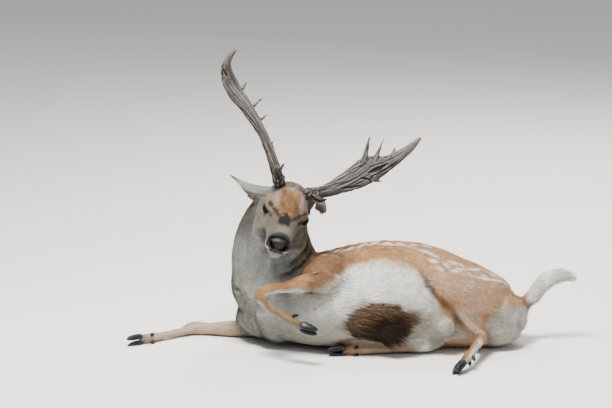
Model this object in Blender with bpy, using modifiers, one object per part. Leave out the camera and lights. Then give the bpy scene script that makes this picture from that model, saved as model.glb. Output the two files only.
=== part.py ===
"""Fallow deer buck, life size, lying on its right side with the head raised.

The deer lies along X with its head towards -X and its belly towards -Y, on the floor at Z = 0.
All lengths are in metres. The flesh is modelled as overlapping forms, fused into one skin,
and parted again into its named pieces by thin cuts. Claws, eyes, nose and antlers are
separate pieces let into the flesh.
"""
import bpy
import bmesh
import numpy as np
from math import cos, pi, radians, sin
from mathutils import Matrix, Vector

# ---------------------------------------------------------------- driving dimensions
FLESH_VOXEL = 0.0036        # grain at which the forms of the body are fused
ANTLER_VOXEL = 0.0026
GAP = 0.0003                # clearance between neighbouring pieces
FLESH_FACES = 2110          # triangles left in the whole skin before it is parted
DETAIL_SHARE = 0.014        # how strongly the face and feet keep their triangles
HEAD_SCALE = 1.05           # the head against a skull of 270 mm
HEAD_AT = Vector((-0.211, -0.060, 0.428))   # middle of the line through both eyes
HEAD_PITCH = radians(17)    # muzzle below the horizontal
HEAD_ROLL = radians(18)     # the left cheek lower than the right
EYE_RADIUS = 0.0165
EYE_PLACE = (0.0570, 0.006, 0.000)         # left, forward, up in the head's own frame
DOMES = ((40,), (62, 30), (75, 50, 25))    # where the rings of a closed end stand, in degrees
COAT = {"tan": (0.62, 0.40, 0.24), "grey": (0.55, 0.50, 0.44), "white": (0.85, 0.81, 0.75)}

parts = bpy.data.collections.new("fallow_deer")


# ---------------------------------------------------------------- scene and materials
def clear_scene():
    for obj in list(bpy.data.objects):
        bpy.data.objects.remove(obj, do_unlink=True)
    bpy.context.scene.collection.children.link(parts)


def material(name, colour, roughness, metallic=0.0):
    mat = bpy.data.materials.new(name)
    mat.use_nodes = True
    shader = mat.node_tree.nodes["Principled BSDF"]
    shader.inputs["Base Color"].default_value = (*colour, 1.0)
    shader.inputs["Roughness"].default_value = roughness
    shader.inputs["Metallic"].default_value = metallic
    return mat


# ---------------------------------------------------------------- mesh helpers
def link(name, mesh):
    obj = bpy.data.objects.new(name, mesh)
    parts.objects.link(obj)
    return obj


def apply_modifiers(obj):
    graph = bpy.context.evaluated_depsgraph_get()
    mesh = bpy.data.meshes.new_from_object(obj.evaluated_get(graph))
    obj.modifiers.clear()
    obj.data = mesh
    return obj


def joined(name, objects):
    """One object of several, still as separate bodies."""
    bm = bmesh.new()
    for obj in objects:
        obj.data.transform(obj.matrix_basis)
        bm.from_mesh(obj.data)
        bpy.data.objects.remove(obj, do_unlink=True)
    mesh = bpy.data.meshes.new(name)
    bm.to_mesh(mesh)
    bm.free()
    return link(name, mesh)


def fused(name, objects, voxel, relax_passes):
    """Overlapping forms made one skin, with the creases between them smoothed out.
    Each pass smooths and then swells again, so that thin limbs keep their thickness."""
    obj = joined(name, objects)
    remesh = obj.modifiers.new("one_skin", "REMESH")
    remesh.mode = "VOXEL"
    remesh.voxel_size = voxel
    apply_modifiers(obj)
    for _ in range(relax_passes):
        for factor in (0.62, -0.64):
            smooth = obj.modifiers.new("relax", "SMOOTH")
            smooth.factor = factor
            smooth.iterations = 1
    return apply_modifiers(obj)


def thinned(obj, faces, detailed=None):
    """Fewer triangles, with more of them kept where `detailed` gives a weight for a point."""
    if detailed:
        group = obj.vertex_groups.new(name="detail")
        for vertex in obj.data.vertices:
            group.add([vertex.index], detailed(vertex.co), "REPLACE")
    triangles = sum(len(p.vertices) - 2 for p in obj.data.polygons)
    decimate = obj.modifiers.new("thin", "DECIMATE")
    decimate.ratio = faces / triangles
    if detailed:
        decimate.vertex_group = "detail"
        decimate.vertex_group_factor = DETAIL_SHARE
        decimate.invert_vertex_group = True
    apply_modifiers(obj)
    obj.vertex_groups.clear()
    return obj


def boolean(obj, cutter, operation):
    modifier = obj.modifiers.new(operation.lower(), "BOOLEAN")
    modifier.operation = operation
    modifier.solver = "EXACT"
    modifier.object = cutter
    return apply_modifiers(obj)


def copy_of(obj, name):
    return link(name, obj.data.copy())


def swollen(obj, name, by):
    """A copy whose faces stand further out by `by`."""
    copy = copy_of(obj, name)
    normals = [v.normal.copy() for v in copy.data.vertices]
    for vertex, normal in zip(copy.data.vertices, normals):
        vertex.co += normal * by
    return copy


def largest_body(obj):
    """Drops the crumbs that a cut leaves, so that one body stays."""
    bm = bmesh.new()
    bm.from_mesh(obj.data)
    bmesh.ops.remove_doubles(bm, verts=bm.verts, dist=1e-6)
    left = set(bm.verts)
    bodies = []
    while left:
        body, edge = set(), [left.pop()]
        while edge:
            vert = edge.pop()
            body.add(vert)
            for e in vert.link_edges:
                other = e.other_vert(vert)
                if other in left:
                    left.discard(other)
                    edge.append(other)
        bodies.append(body)
    bodies.sort(key=len, reverse=True)
    for body in bodies[1:]:
        bmesh.ops.delete(bm, geom=list(body), context="VERTS")
    bm.to_mesh(obj.data)
    bm.free()
    return obj


def part_off(whole, name, region):
    """Takes what lies in `region` out of `whole` as the piece `name`, and leaves a gap round it."""
    piece = boolean(copy_of(whole, name), region, "INTERSECT")
    grown = swollen(region, "grown", 1.5 * GAP)
    boolean(whole, grown, "DIFFERENCE")
    bpy.data.objects.remove(region, do_unlink=True)
    bpy.data.objects.remove(grown, do_unlink=True)
    return largest_body(piece)


def let_in(whole, piece):
    """Makes room in `whole` for a hard piece, with the gap round it."""
    room = swollen(piece, "room", GAP)
    boolean(whole, room, "DIFFERENCE")
    bpy.data.objects.remove(room, do_unlink=True)


# ---------------------------------------------------------------- forms
def smooth_rows(rows, steps):
    """Rows between the given ones, on a Catmull-Rom curve through them all."""
    rows = np.array(rows, float)
    rows = np.vstack([2 * rows[0] - rows[1], rows, 2 * rows[-1] - rows[-2]])
    found = []
    for p0, p1, p2, p3 in zip(rows, rows[1:], rows[2:], rows[3:]):
        for t in np.arange(steps) / steps:
            found.append(0.5 * (2 * p1 + (p2 - p0) * t + (2 * p0 - 5 * p1 + 4 * p2 - p3) * t**2
                                + (3 * p1 - p0 - 3 * p2 + p3) * t**3))
    return np.array([*found, rows[-2]])


def loft(name, stations, side, steps=5, points=24, square=1.0, blunt=0.8, domed=(True, True)):
    """A closed form through sections along a path.

    A station is x, y, z, half width along `side`, half height behind, half height in front and,
    if given, a turn of the section in degrees. Behind is `side` x the way the path runs.
    """
    rows = smooth_rows([(*s, 0.0) if len(s) == 6 else s for s in stations], steps)
    side = Vector(side).normalized()
    rings = []
    for i, row in enumerate(rows):
        ahead = Vector(rows[min(i + 1, len(rows) - 1)][:3] - rows[max(i - 1, 0)][:3]).normalized()
        across = (side - ahead * side.dot(ahead)).normalized()
        across = Matrix.Rotation(radians(row[6]), 3, ahead) @ across
        rings.append((Vector(row[:3]), ahead, across, across.cross(ahead), row[3:6]))
    bm = bmesh.new()

    def ring(at, across, back, sizes, share):
        verts = []
        for k in range(points):
            angle = 2 * pi * k / points
            wide, high = cos(angle), sin(angle)
            wide = np.sign(wide) * abs(wide) ** square * sizes[0]
            high = np.sign(high) * abs(high) ** square * (sizes[1] if high > 0 else sizes[2])
            verts.append(bm.verts.new(at + (across * wide + back * high) * share))
        return verts

    loops = []
    dome = [(sin(radians(a)), cos(radians(a))) for a in DOMES[sum(points > few for few in (8, 12))]]
    at, ahead, across, back, sizes = rings[0]
    if domed[0]:
        loops += [ring(at - ahead * out * min(sizes) * blunt, across, back, sizes, share)
                  for out, share in dome]
    loops += [ring(at, across, back, sizes, 1.0) for at, ahead, across, back, sizes in rings]
    at, ahead, across, back, sizes = rings[-1]
    if domed[1]:
        loops += [ring(at + ahead * out * min(sizes) * blunt, across, back, sizes, share)
                  for out, share in reversed(dome)]
    for first, second in zip(loops, loops[1:]):
        for k in range(points):
            bm.faces.new((first[k], first[(k + 1) % points], second[(k + 1) % points], second[k]))
    bm.faces.new(reversed(loops[0]))
    bm.faces.new(loops[-1])
    sides = [f for f in bm.faces if len(f.verts) == 4]
    bmesh.ops.triangulate(bm, faces=sides, quad_method="FIXED")
    bmesh.ops.recalc_face_normals(bm, faces=bm.faces)
    mesh = bpy.data.meshes.new(name)
    bm.to_mesh(mesh)
    bm.free()
    return link(name, mesh)


def mass(name, at, radii, turn=None, segments=20):
    """A muscle or other swelling: a sphere stretched to three half sizes and turned."""
    bpy.ops.mesh.primitive_uv_sphere_add(segments=segments, ring_count=segments // 2, radius=1.0)
    obj = bpy.context.object
    obj.name = name
    for holder in obj.users_collection:
        holder.objects.unlink(obj)
    parts.objects.link(obj)
    turn = turn or Matrix.Identity(3)
    obj.data.transform(Matrix.Translation(Vector(at)) @ turn.to_4x4() @ Matrix.Diagonal((*radii, 1.0)))
    if turn.determinant() < 0:
        obj.data.flip_normals()
    return obj


def block(name, low, high):
    """A box between two corners, used to part the trunk."""
    bpy.ops.mesh.primitive_cube_add(size=1.0)
    obj = bpy.context.object
    obj.name = name
    for holder in obj.users_collection:
        holder.objects.unlink(obj)
    parts.objects.link(obj)
    low, high = Vector(low), Vector(high)
    obj.data.transform(Matrix.Translation((low + high) / 2) @ Matrix.Diagonal((*(high - low), 1.0)))
    return obj


# ---------------------------------------------------------------- the head's own frame
def head_frame():
    """Columns are the head's left, forward and up."""
    roll = Matrix.Rotation(HEAD_ROLL, 3, "Y")
    forward = roll @ Vector((0, -cos(HEAD_PITCH), -sin(HEAD_PITCH)))
    up = roll @ Vector((0, -sin(HEAD_PITCH), cos(HEAD_PITCH)))
    return Matrix((up.cross(forward), forward, up)).transposed()


HEAD = head_frame()


def on_head(left, forward, up):
    return HEAD_AT + HEAD @ (Vector((left, forward, up)) * HEAD_SCALE)


def head_mass(name, place, radii, tilt=0.0, segments=20):
    turn = HEAD @ Matrix.Rotation(radians(tilt), 3, "X")
    return mass(name, on_head(*place), Vector(radii) * HEAD_SCALE, turn, segments)


def both(make, *places):
    """The same form on the left (+1) and on the right (-1)."""
    return [make(hand, *places) for hand in (1, -1)]


# ---------------------------------------------------------------- the body's forms
# Trunk, from the chest to the root of the tail: place, half width, half depth towards the
# back, half depth towards the belly, and the roll of the section.
LYING = Vector((0.0, -0.37, 0.93))          # the left side of the trunk faces up
TRUNK = (
    (-0.300, 0.030, 0.085, 0.070, 0.080, 0.080, -6),
    (-0.245, 0.020, 0.112, 0.098, 0.135, 0.120, -6),
    (-0.167, 0.010, 0.133, 0.120, 0.165, 0.165, -5),
    (-0.074, 0.000, 0.147, 0.129, 0.175, 0.190, -3),
    (0.019, 0.000, 0.157, 0.142, 0.180, 0.197, -1),
    (0.112, 0.000, 0.161, 0.150, 0.180, 0.197, 0),
    (0.205, 0.000, 0.155, 0.147, 0.175, 0.185, 0),
    (0.298, 0.004, 0.134, 0.130, 0.162, 0.160, 0),
    (0.391, 0.010, 0.110, 0.112, 0.145, 0.140, 0),
    (0.458, 0.015, 0.092, 0.088, 0.118, 0.110, 0),
    (0.496, 0.018, 0.085, 0.058, 0.078, 0.070, 0),
)
NECK = (
    (-0.180, 0.030, 0.100, 0.100, 0.110, 0.110),
    (-0.234, 0.022, 0.170, 0.140, 0.118, 0.118),
    (-0.244, 0.014, 0.232, 0.140, 0.106, 0.110),
    (-0.252, 0.008, 0.300, 0.129, 0.096, 0.104),
    (-0.247, 0.006, 0.362, 0.113, 0.088, 0.100),
    (-0.230, 0.006, 0.418, 0.092, 0.078, 0.084),
    (-0.209, 0.008, 0.458, 0.064, 0.060, 0.058),
)
TAIL = (
    (0.478, 0.030, 0.088, 0.022, 0.022, 0.022),
    (0.515, 0.036, 0.103, 0.021, 0.020, 0.020),
    (0.547, 0.044, 0.130, 0.021, 0.019, 0.019),
    (0.574, 0.050, 0.163, 0.025, 0.020, 0.020),
    (0.602, 0.052, 0.189, 0.026, 0.020, 0.020),
    (0.634, 0.052, 0.203, 0.022, 0.018, 0.018),
    (0.667, 0.050, 0.203, 0.014, 0.012, 0.012),
    (0.697, 0.050, 0.196, 0.006, 0.006, 0.006),
)

# Each leg: the way that the body's left side faces there, its upper part, which is fused into
# the trunk, its shaft with the joints, and the place of the claw tips.
LEGS = {
    "left_fore": {
        "side": (-0.04, -0.60, 0.80),
        "upper": (
            (-0.100, -0.020, 0.235, 0.045, 0.085, 0.075),
            (-0.110, -0.080, 0.236, 0.042, 0.070, 0.062),
            (-0.085, -0.122, 0.232, 0.038, 0.050, 0.050),
        ),
        "shaft": (
            (-0.052, -0.142, 0.227, 0.024, 0.026, 0.034),
            (-0.085, -0.154, 0.229, 0.030, 0.036, 0.040),
            (-0.125, -0.165, 0.230, 0.029, 0.034, 0.036),
            (-0.170, -0.172, 0.227, 0.024, 0.027, 0.029),
            (-0.218, -0.176, 0.221, 0.018, 0.019, 0.020),
            (-0.258, -0.178, 0.214, 0.016, 0.016, 0.017),
            (-0.284, -0.180, 0.204, 0.019, 0.018, 0.019),
            (-0.287, -0.186, 0.189, 0.019, 0.018, 0.019),
            (-0.268, -0.194, 0.170, 0.014, 0.014, 0.014),
            (-0.240, -0.220, 0.154, 0.0118, 0.0135, 0.0125),
            (-0.214, -0.244, 0.141, 0.0130, 0.0145, 0.0130),
            (-0.196, -0.260, 0.133, 0.0165, 0.0165, 0.0150),
            (-0.176, -0.272, 0.127, 0.0160, 0.0140, 0.0135),
            (-0.158, -0.279, 0.121, 0.0170, 0.0120, 0.0125),
        ),
        "joints": (1, 7),
        "tip": (-0.116, -0.292, 0.104),
    },
    "right_fore": {
        "side": (0.0, 0.05, 1.0),
        "upper": (
            (-0.140, 0.060, 0.070, 0.045, 0.080, 0.080),
            (-0.200, 0.060, 0.052, 0.043, 0.070, 0.070),
            (-0.262, 0.070, 0.038, 0.036, 0.056, 0.056),
        ),
        "shaft": (
            (-0.300, 0.080, 0.030, 0.031, 0.040, 0.040),
            (-0.345, 0.088, 0.026, 0.028, 0.034, 0.034),
            (-0.400, 0.097, 0.023, 0.024, 0.028, 0.028),
            (-0.450, 0.106, 0.020, 0.019, 0.021, 0.021),
            (-0.488, 0.112, 0.021, 0.021, 0.020, 0.022),
            (-0.512, 0.106, 0.021, 0.020, 0.019, 0.021),
            (-0.540, 0.085, 0.016, 0.0135, 0.0145, 0.0140),
            (-0.578, 0.053, 0.015, 0.0118, 0.0135, 0.0125),
            (-0.610, 0.026, 0.015, 0.0130, 0.0150, 0.0130),
            (-0.632, 0.009, 0.016, 0.0165, 0.0165, 0.0150),
            (-0.650, -0.004, 0.016, 0.0160, 0.0140, 0.0135),
            (-0.666, -0.014, 0.015, 0.0165, 0.0120, 0.0125),
        ),
        "joints": (0, 5),
        "tip": (-0.708, -0.038, 0.011),
    },
    "left_hind": {
        "side": (0.60, -0.25, 0.76),
        "upper": (
            (0.440, -0.010, 0.150, 0.060, 0.100, 0.085),
            (0.390, -0.030, 0.176, 0.062, 0.108, 0.080),
            (0.325, -0.068, 0.196, 0.055, 0.104, 0.060),
            (0.268, -0.102, 0.206, 0.044, 0.075, 0.045),
        ),
        "shaft": (
            (0.245, -0.112, 0.205, 0.036, 0.058, 0.036),
            (0.270, -0.120, 0.178, 0.034, 0.066, 0.040),
            (0.305, -0.128, 0.142, 0.028, 0.052, 0.034),
            (0.340, -0.134, 0.110, 0.020, 0.036, 0.024),
            (0.368, -0.138, 0.083, 0.017, 0.030, 0.020),
            (0.388, -0.142, 0.064, 0.020, 0.034, 0.019),
            (0.388, -0.162, 0.057, 0.0195, 0.026, 0.018),
            (0.379, -0.200, 0.054, 0.0150, 0.0185, 0.0150),
            (0.367, -0.250, 0.050, 0.0130, 0.0155, 0.0135),
            (0.354, -0.298, 0.046, 0.0140, 0.0165, 0.0140),
            (0.345, -0.328, 0.042, 0.0175, 0.0180, 0.0160),
            (0.334, -0.348, 0.034, 0.0170, 0.0150, 0.0150),
            (0.323, -0.364, 0.025, 0.0180, 0.0130, 0.0140),
        ),
        "joints": (0, 5),
        "tip": (0.298, -0.402, 0.008),
    },
    "right_hind": {
        "side": (-0.05, -0.10, 0.99),
        "upper": (
            (0.430, 0.020, 0.070, 0.060, 0.110, 0.110),
            (0.350, 0.045, 0.065, 0.058, 0.105, 0.100),
            (0.285, 0.040, 0.062, 0.052, 0.080, 0.080),
        ),
        "shaft": (
            (0.262, 0.010, 0.050, 0.045, 0.060, 0.060),
            (0.250, -0.045, 0.042, 0.038, 0.052, 0.045),
            (0.240, -0.088, 0.034, 0.029, 0.038, 0.030),
            (0.228, -0.116, 0.028, 0.025, 0.038, 0.024),
            (0.205, -0.128, 0.024, 0.022, 0.030, 0.022),
            (0.170, -0.131, 0.020, 0.0165, 0.0195, 0.0170),
            (0.120, -0.137, 0.016, 0.0125, 0.0155, 0.0135),
            (0.062, -0.143, 0.015, 0.0125, 0.0155, 0.0135),
            (0.028, -0.148, 0.016, 0.0140, 0.0165, 0.0145),
            (0.006, -0.151, 0.017, 0.0170, 0.0180, 0.0160),
            (-0.014, -0.154, 0.016, 0.0165, 0.0150, 0.0145),
            (-0.032, -0.157, 0.015, 0.0180, 0.0130, 0.0135),
        ),
        "joints": (0, 3),
        "tip": (-0.080, -0.166, 0.012),
    },
}

# Skull and muzzle along the head's forward axis: left, forward, up, half width, half height
# above and below.
SKULL = (
    (0, -0.098, -0.002, 0.042, 0.036, 0.055),
    (0, -0.070, -0.002, 0.055, 0.046, 0.075),
    (0, -0.036, -0.006, 0.060, 0.050, 0.082),
    (0, 0.000, -0.012, 0.058, 0.047, 0.076),
    (0, 0.030, -0.020, 0.052, 0.042, 0.063),
    (0, 0.060, -0.026, 0.045, 0.037, 0.052),
    (0, 0.090, -0.030, 0.0400, 0.032, 0.045),
    (0, 0.118, -0.032, 0.0390, 0.030, 0.043),
    (0, 0.138, -0.033, 0.0370, 0.026, 0.038),
    (0, 0.147, -0.034, 0.0300, 0.020, 0.029),
)


def calcaneus(leg, tip):
    """The point of the hock, behind the joint, with the sinew that runs up from it."""
    station = Vector(LEGS[leg]["shaft"][LEGS[leg]["joints"][1]][:3])
    above = Vector(LEGS[leg]["shaft"][LEGS[leg]["joints"][1] - 2][:3])
    tip = Vector(tip)
    rows = [(*(above.lerp(tip, 0.45)), 0.010, 0.012, 0.012), (*(above.lerp(tip, 0.85)), 0.011, 0.012, 0.012),
            (*tip, 0.013, 0.012, 0.012), (*(tip.lerp(station, 0.6)), 0.015, 0.014, 0.014)]
    return loft("heel", rows, LEGS[leg]["side"], steps=3, points=12)


def body_forms():
    forms = [
        loft("trunk", TRUNK, LYING, points=40, square=0.92),
        loft("neck", NECK, (1.0, 0.0, 0.0), points=36),
        loft("tail", TAIL, (-0.7, 0.0, 0.7), points=16),
        mass("brisket", (-0.235, -0.055, 0.098), (0.075, 0.060, 0.082)),
        mass("point_of_shoulder", (-0.322, 0.050, 0.072), (0.050, 0.060, 0.046)),
        mass("shoulder", (-0.075, -0.030, 0.225), (0.085, 0.090, 0.062), Matrix.Rotation(radians(-25), 3, "X")),
        mass("haunch", (0.400, 0.000, 0.150), (0.095, 0.110, 0.075), Matrix.Rotation(radians(-20), 3, "X")),
        mass("seat_left", (0.447, -0.045, 0.115), (0.065, 0.070, 0.065)),
        mass("seat_right", (0.440, -0.030, 0.055), (0.080, 0.095, 0.055)),
        mass("scrotum", (0.277, -0.150, 0.092), (0.036, 0.034, 0.036)),
        mass("sheath", (0.118, -0.172, 0.090), (0.075, 0.028, 0.045)),
        mass("resting_side", (0.010, 0.045, 0.080), (0.300, 0.115, 0.0865)),
    ]
    for leg in LEGS.values():
        forms.append(loft("upper", leg["upper"], leg["side"], points=24))
        forms.append(loft("shaft", leg["shaft"], leg["side"], points=20))
    forms.append(calcaneus("left_hind", (0.411, -0.122, 0.053)))
    forms.append(calcaneus("right_hind", (0.262, -0.124, 0.034)))
    return forms


def head_forms():
    skull = [(*on_head(*row[:3]), *(v * HEAD_SCALE for v in row[3:])) for row in SKULL]
    forms = [loft("skull", skull, HEAD.col[0], points=32, square=0.88)]
    forms += both(lambda hand: head_mass("orbit", (0.046 * hand, 0.000, 0.000), (0.023, 0.030, 0.024)))
    forms += both(lambda hand: head_mass("brow", (0.041 * hand, -0.006, 0.018), (0.022, 0.036, 0.017)))
    forms += both(lambda hand: head_mass("cheek", (0.046 * hand, -0.008, -0.056), (0.026, 0.058, 0.038), 10))
    forms += both(lambda hand: head_mass("cheekbone", (0.040 * hand, 0.020, -0.026), (0.017, 0.050, 0.018), -14))
    forms += both(lambda hand: head_mass("nostril_wing", (0.018 * hand, 0.126, -0.026), (0.019, 0.026, 0.019)))
    forms += both(lambda hand: head_mass("upper_lip", (0.018 * hand, 0.112, -0.050), (0.021, 0.036, 0.019)))
    forms += both(lambda hand: head_mass("pedicle", (0.039 * hand, -0.052, 0.050), (0.017, 0.017, 0.024)))
    forms += [
        head_mass("forehead", (0, -0.020, 0.030), (0.040, 0.042, 0.016)),
        head_mass("crown", (0, -0.066, 0.036), (0.040, 0.032, 0.022)),
        head_mass("nose_bridge", (0, 0.070, 0.000), (0.023, 0.060, 0.012), -8),
        head_mass("chin", (0, 0.118, -0.070), (0.023, 0.028, 0.015)),
        head_mass("jaw", (0, 0.050, -0.066), (0.035, 0.085, 0.027), -3),
        head_mass("throat", (0.010, -0.030, -0.105), (0.062, 0.070, 0.052)),
    ]
    return forms


# ---------------------------------------------------------------- claws, eyes, nose, ears
def foot(leg):
    """The two main claws and the two dew claws of a leg, as hard pieces."""
    shaft = LEGS[leg]["shaft"]
    ankle, fetlock = Vector(shaft[-1][:3]), Vector(shaft[-3][:3])
    tip = Vector(LEGS[leg]["tip"])
    ahead = (tip - ankle).normalized()
    side = Vector(LEGS[leg]["side"]).normalized()
    side = (side - ahead * side.dot(ahead)).normalized()
    back = side.cross(ahead)
    claws = []
    for hand, where in ((1, "upper"), (-1, "under")):
        spread = side * hand
        heel = ankle + spread * 0.0102 - ahead * 0.004
        toe = tip + spread * 0.0112
        rows = [(*heel, 0.0080, 0.0120, 0.0130), (*(heel.lerp(toe, 0.25)), 0.0092, 0.0135, 0.0145),
                (*(heel.lerp(toe, 0.55)), 0.0090, 0.0130, 0.0115), (*(heel.lerp(toe, 0.82)), 0.0066, 0.0110, 0.0055),
                (*(toe + back * 0.0035), 0.0030, 0.0055, 0.0020)]
        name = "hoof_" + leg + "_" + where
        claws.append(loft(name, rows, side, steps=1, points=8, square=0.85, blunt=0.5))
        start = fetlock + spread * 0.0125 + back * 0.0130
        end = start + back * 0.0100 + ahead * 0.0130 + spread * 0.002
        rows = [(*start, 0.0062, 0.0055, 0.0055), (*(start.lerp(end, 0.6)), 0.0062, 0.0055, 0.0055),
                (*end, 0.0034, 0.0030, 0.0030)]
        claws.append(loft("dewclaw_" + leg + "_" + where, rows, side, steps=1, points=6))
    return claws


def eye(hand, name):
    left, forward, up = EYE_PLACE
    return mass(name, on_head(left * hand, forward, up), (EYE_RADIUS,) * 3, HEAD, segments=10)


def nose_pad():
    rows = [(0, 0.136, -0.026, 0.0245, 0.0170, 0.0190), (0, 0.149, -0.027, 0.0285, 0.0190, 0.0210),
            (0, 0.1565, -0.0285, 0.0235, 0.0165, 0.0185), (0, 0.1605, -0.030, 0.0150, 0.0100, 0.0120)]
    rows = [(*on_head(*row[:3]), *(v * HEAD_SCALE for v in row[3:])) for row in rows]
    pad = loft("nose", rows, HEAD.col[0], steps=1, points=12, square=0.8, blunt=0.3)
    for hand in (1, -1):
        hole = head_mass("nostril", (0.0160 * hand, 0.160, -0.0265), (0.0055, 0.0100, 0.0042), 0.0, 8)
        boolean(pad, hole, "DIFFERENCE")
        bpy.data.objects.remove(hole, do_unlink=True)
    return pad


EARS = {
    # root and tip in the head's frame, and the way that the open side faces
    "ear_right": ((-0.056, -0.072, 0.031), (-0.189, -0.088, 0.018), (-0.10, 0.35, -0.90)),
    "ear_left": ((0.056, -0.076, 0.028), (0.094, -0.172, 0.004), (0.60, -0.40, -0.68)),
}
EAR_HALF_WIDTH, EAR_WALL = 0.031, 0.0042


def ear(name):
    """A leaf rolled into a cup at its root and opening towards its tip."""
    root, tip, opening = EARS[name]
    root, tip = on_head(*root), on_head(*tip)
    ahead = (tip - root).normalized()
    opening = HEAD @ Vector(opening)
    opening = (opening - ahead * opening.dot(ahead)).normalized()
    across = ahead.cross(opening)
    length, along, around = (tip - root).length, 9, 6
    bm = bmesh.new()
    rows = []
    for i in range(along + 1):
        t = i / along
        half = EAR_HALF_WIDTH * (0.50 + 0.50 * sin(pi * min(t * 1.25, 1.0) ** 0.8)) * (1 - t**3.2) ** 0.75 + 0.002
        curl = radians(150 - 95 * t)
        radius = half / sin(min(curl, pi / 2))
        middle = root + ahead * length * t + opening * 0.010 * sin(pi * t)
        rows.append([bm.verts.new(middle + across * radius * sin(curl * v)
                                  + opening * radius * (1 - cos(curl * v)))
                     for v in np.linspace(-1, 1, around + 1)])
    for first, second in zip(rows, rows[1:]):
        for k in range(around):
            bm.faces.new((first[k], second[k], second[k + 1], first[k + 1]))
    bmesh.ops.recalc_face_normals(bm, faces=bm.faces)
    mesh = bpy.data.meshes.new(name)
    bm.to_mesh(mesh)
    bm.free()
    obj = link(name, mesh)
    wall = obj.modifiers.new("wall", "SOLIDIFY")
    wall.thickness = EAR_WALL
    wall.offset = 0.0
    return apply_modifiers(obj)


# ---------------------------------------------------------------- antlers
# Beam and palm in one path: x, y, z, half width of the palm, half thickness. The palm widens
# along the given way. Tines are root, tip and root radius; the brow tine comes first.
ANTLERS = {
    "antler_right": {
        "wide": (0.35, 0.90, 0.15),
        "path": (
            (-0.233, -0.038, 0.528, 0.0180, 0.0175),
            (-0.243, -0.034, 0.562, 0.0165, 0.0160),
            (-0.262, -0.010, 0.617, 0.0160, 0.0150),
            (-0.290, 0.012, 0.676, 0.0185, 0.0150),
            (-0.328, 0.032, 0.735, 0.0300, 0.0145),
            (-0.364, 0.046, 0.782, 0.0430, 0.0130),
            (-0.389, 0.050, 0.828, 0.0420, 0.0120),
            (-0.396, 0.046, 0.866, 0.0280, 0.0115),
            (-0.386, 0.036, 0.898, 0.0140, 0.0095),
            (-0.366, 0.026, 0.924, 0.0060, 0.0055),
        ),
        "tines": (
            ((-0.240, -0.040, 0.566), (-0.214, -0.150, 0.606), 0.0120),
            ((-0.268, 0.004, 0.628), (-0.246, 0.040, 0.640), 0.0085),
            ((-0.300, 0.045, 0.700), (-0.268, 0.098, 0.712), 0.0095),
            ((-0.322, 0.062, 0.742), (-0.282, 0.128, 0.760), 0.0100),
            ((-0.352, 0.080, 0.790), (-0.330, 0.150, 0.812), 0.0095),
            ((-0.388, 0.080, 0.836), (-0.384, 0.128, 0.880), 0.0090),
            ((-0.400, 0.030, 0.842), (-0.412, 0.004, 0.892), 0.0080),
        ),
        "beam_end": 3,
    },
    "antler_left": {
        "wide": (-0.42, 0.10, 0.90),
        "path": (
            (-0.138, -0.036, 0.484, 0.0185, 0.0175),
            (-0.112, -0.030, 0.487, 0.0190, 0.0170),
            (-0.074, -0.020, 0.495, 0.0225, 0.0165),
            (-0.040, -0.006, 0.507, 0.0290, 0.0150),
            (0.000, 0.012, 0.523, 0.0370, 0.0130),
            (0.046, 0.030, 0.547, 0.0425, 0.0120),
            (0.086, 0.046, 0.556, 0.0320, 0.0115),
            (0.124, 0.060, 0.572, 0.0205, 0.0115),
            (0.164, 0.072, 0.598, 0.0145, 0.0105),
            (0.206, 0.080, 0.636, 0.0065, 0.0060),
        ),
        "tines": (
            ((-0.118, -0.046, 0.482), (-0.084, -0.150, 0.492), 0.0120),
            ((0.030, 0.030, 0.583), (0.052, 0.052, 0.662), 0.0110),
            ((0.067, 0.044, 0.584), (0.094, 0.066, 0.641), 0.0100),
            ((0.112, 0.058, 0.580), (0.132, 0.078, 0.614), 0.0085),
            ((0.146, 0.068, 0.590), (0.182, 0.090, 0.588), 0.0080),
            ((0.056, 0.026, 0.520), (0.092, 0.036, 0.508), 0.0085),
        ),
        "beam_end": 3,
    },
}
BURR_RADIUS = 0.0215


def tine(root, tip, radius, wide):
    """A pointed branch that curves up a little towards its tip."""
    root, tip = Vector(root), Vector(tip)
    lift = Vector((0, 0, 0.10 * (tip - root).length))
    start = root.lerp(tip, -0.25)
    rows = [(*(start.lerp(tip, t) - lift * sin(pi * t)), *(radius * (1.0 - 0.78 * t**1.3),) * 3)
            for t in (0.0, 0.33, 0.66, 1.0)]
    return loft("tine", rows, wide, steps=2, points=12)


def antler(name):
    """The burr, beam, palm and tines fused, then parted at the main forks."""
    plan = ANTLERS[name]
    wide = Vector(plan["wide"])
    rows = [(*p[:3], p[3], p[4], p[4]) for p in plan["path"]]
    forms = [loft("beam", rows, wide, points=24, square=0.9)]
    root, next_up = Vector(rows[0][:3]), Vector(rows[1][:3])
    ahead = (next_up - root).normalized()
    burr = [(*(root + ahead * k), r, r, r) for k, r in
            ((-0.010, 0.0175), (0.000, BURR_RADIUS), (0.006, BURR_RADIUS * 0.97), (0.014, 0.0180))]
    forms.append(loft("burr", burr, wide, steps=2, points=24))
    forms += [tine(*t, wide) for t in plan["tines"]]
    whole = fused(name, forms, ANTLER_VOXEL, 5)
    thinned(whole, 640)
    brow_piece = part_off(whole, name + "_brow_tine", outer_part(plan["tines"][0], wide))
    palm = [(*p[:3], 0.10, 0.10, 0.10) for p in plan["path"][plan["beam_end"]:]]
    palm = loft("palm_region", palm, wide, steps=1, points=8, domed=(False, True))
    palm_piece = part_off(whole, name + "_palm", palm)
    whole.name = name + "_beam"
    return [largest_body(whole), brow_piece, palm_piece]


def outer_part(branch, wide):
    """A region round a tine from just outside the beam to past its tip."""
    root, tip = Vector(branch[0]), Vector(branch[1])
    rows = [(*at, 0.022, 0.022, 0.022) for at in (root.lerp(tip, 0.22), tip.lerp(root, -0.3))]
    return loft("region", rows, wide, steps=1, points=8, domed=(False, False))


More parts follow.
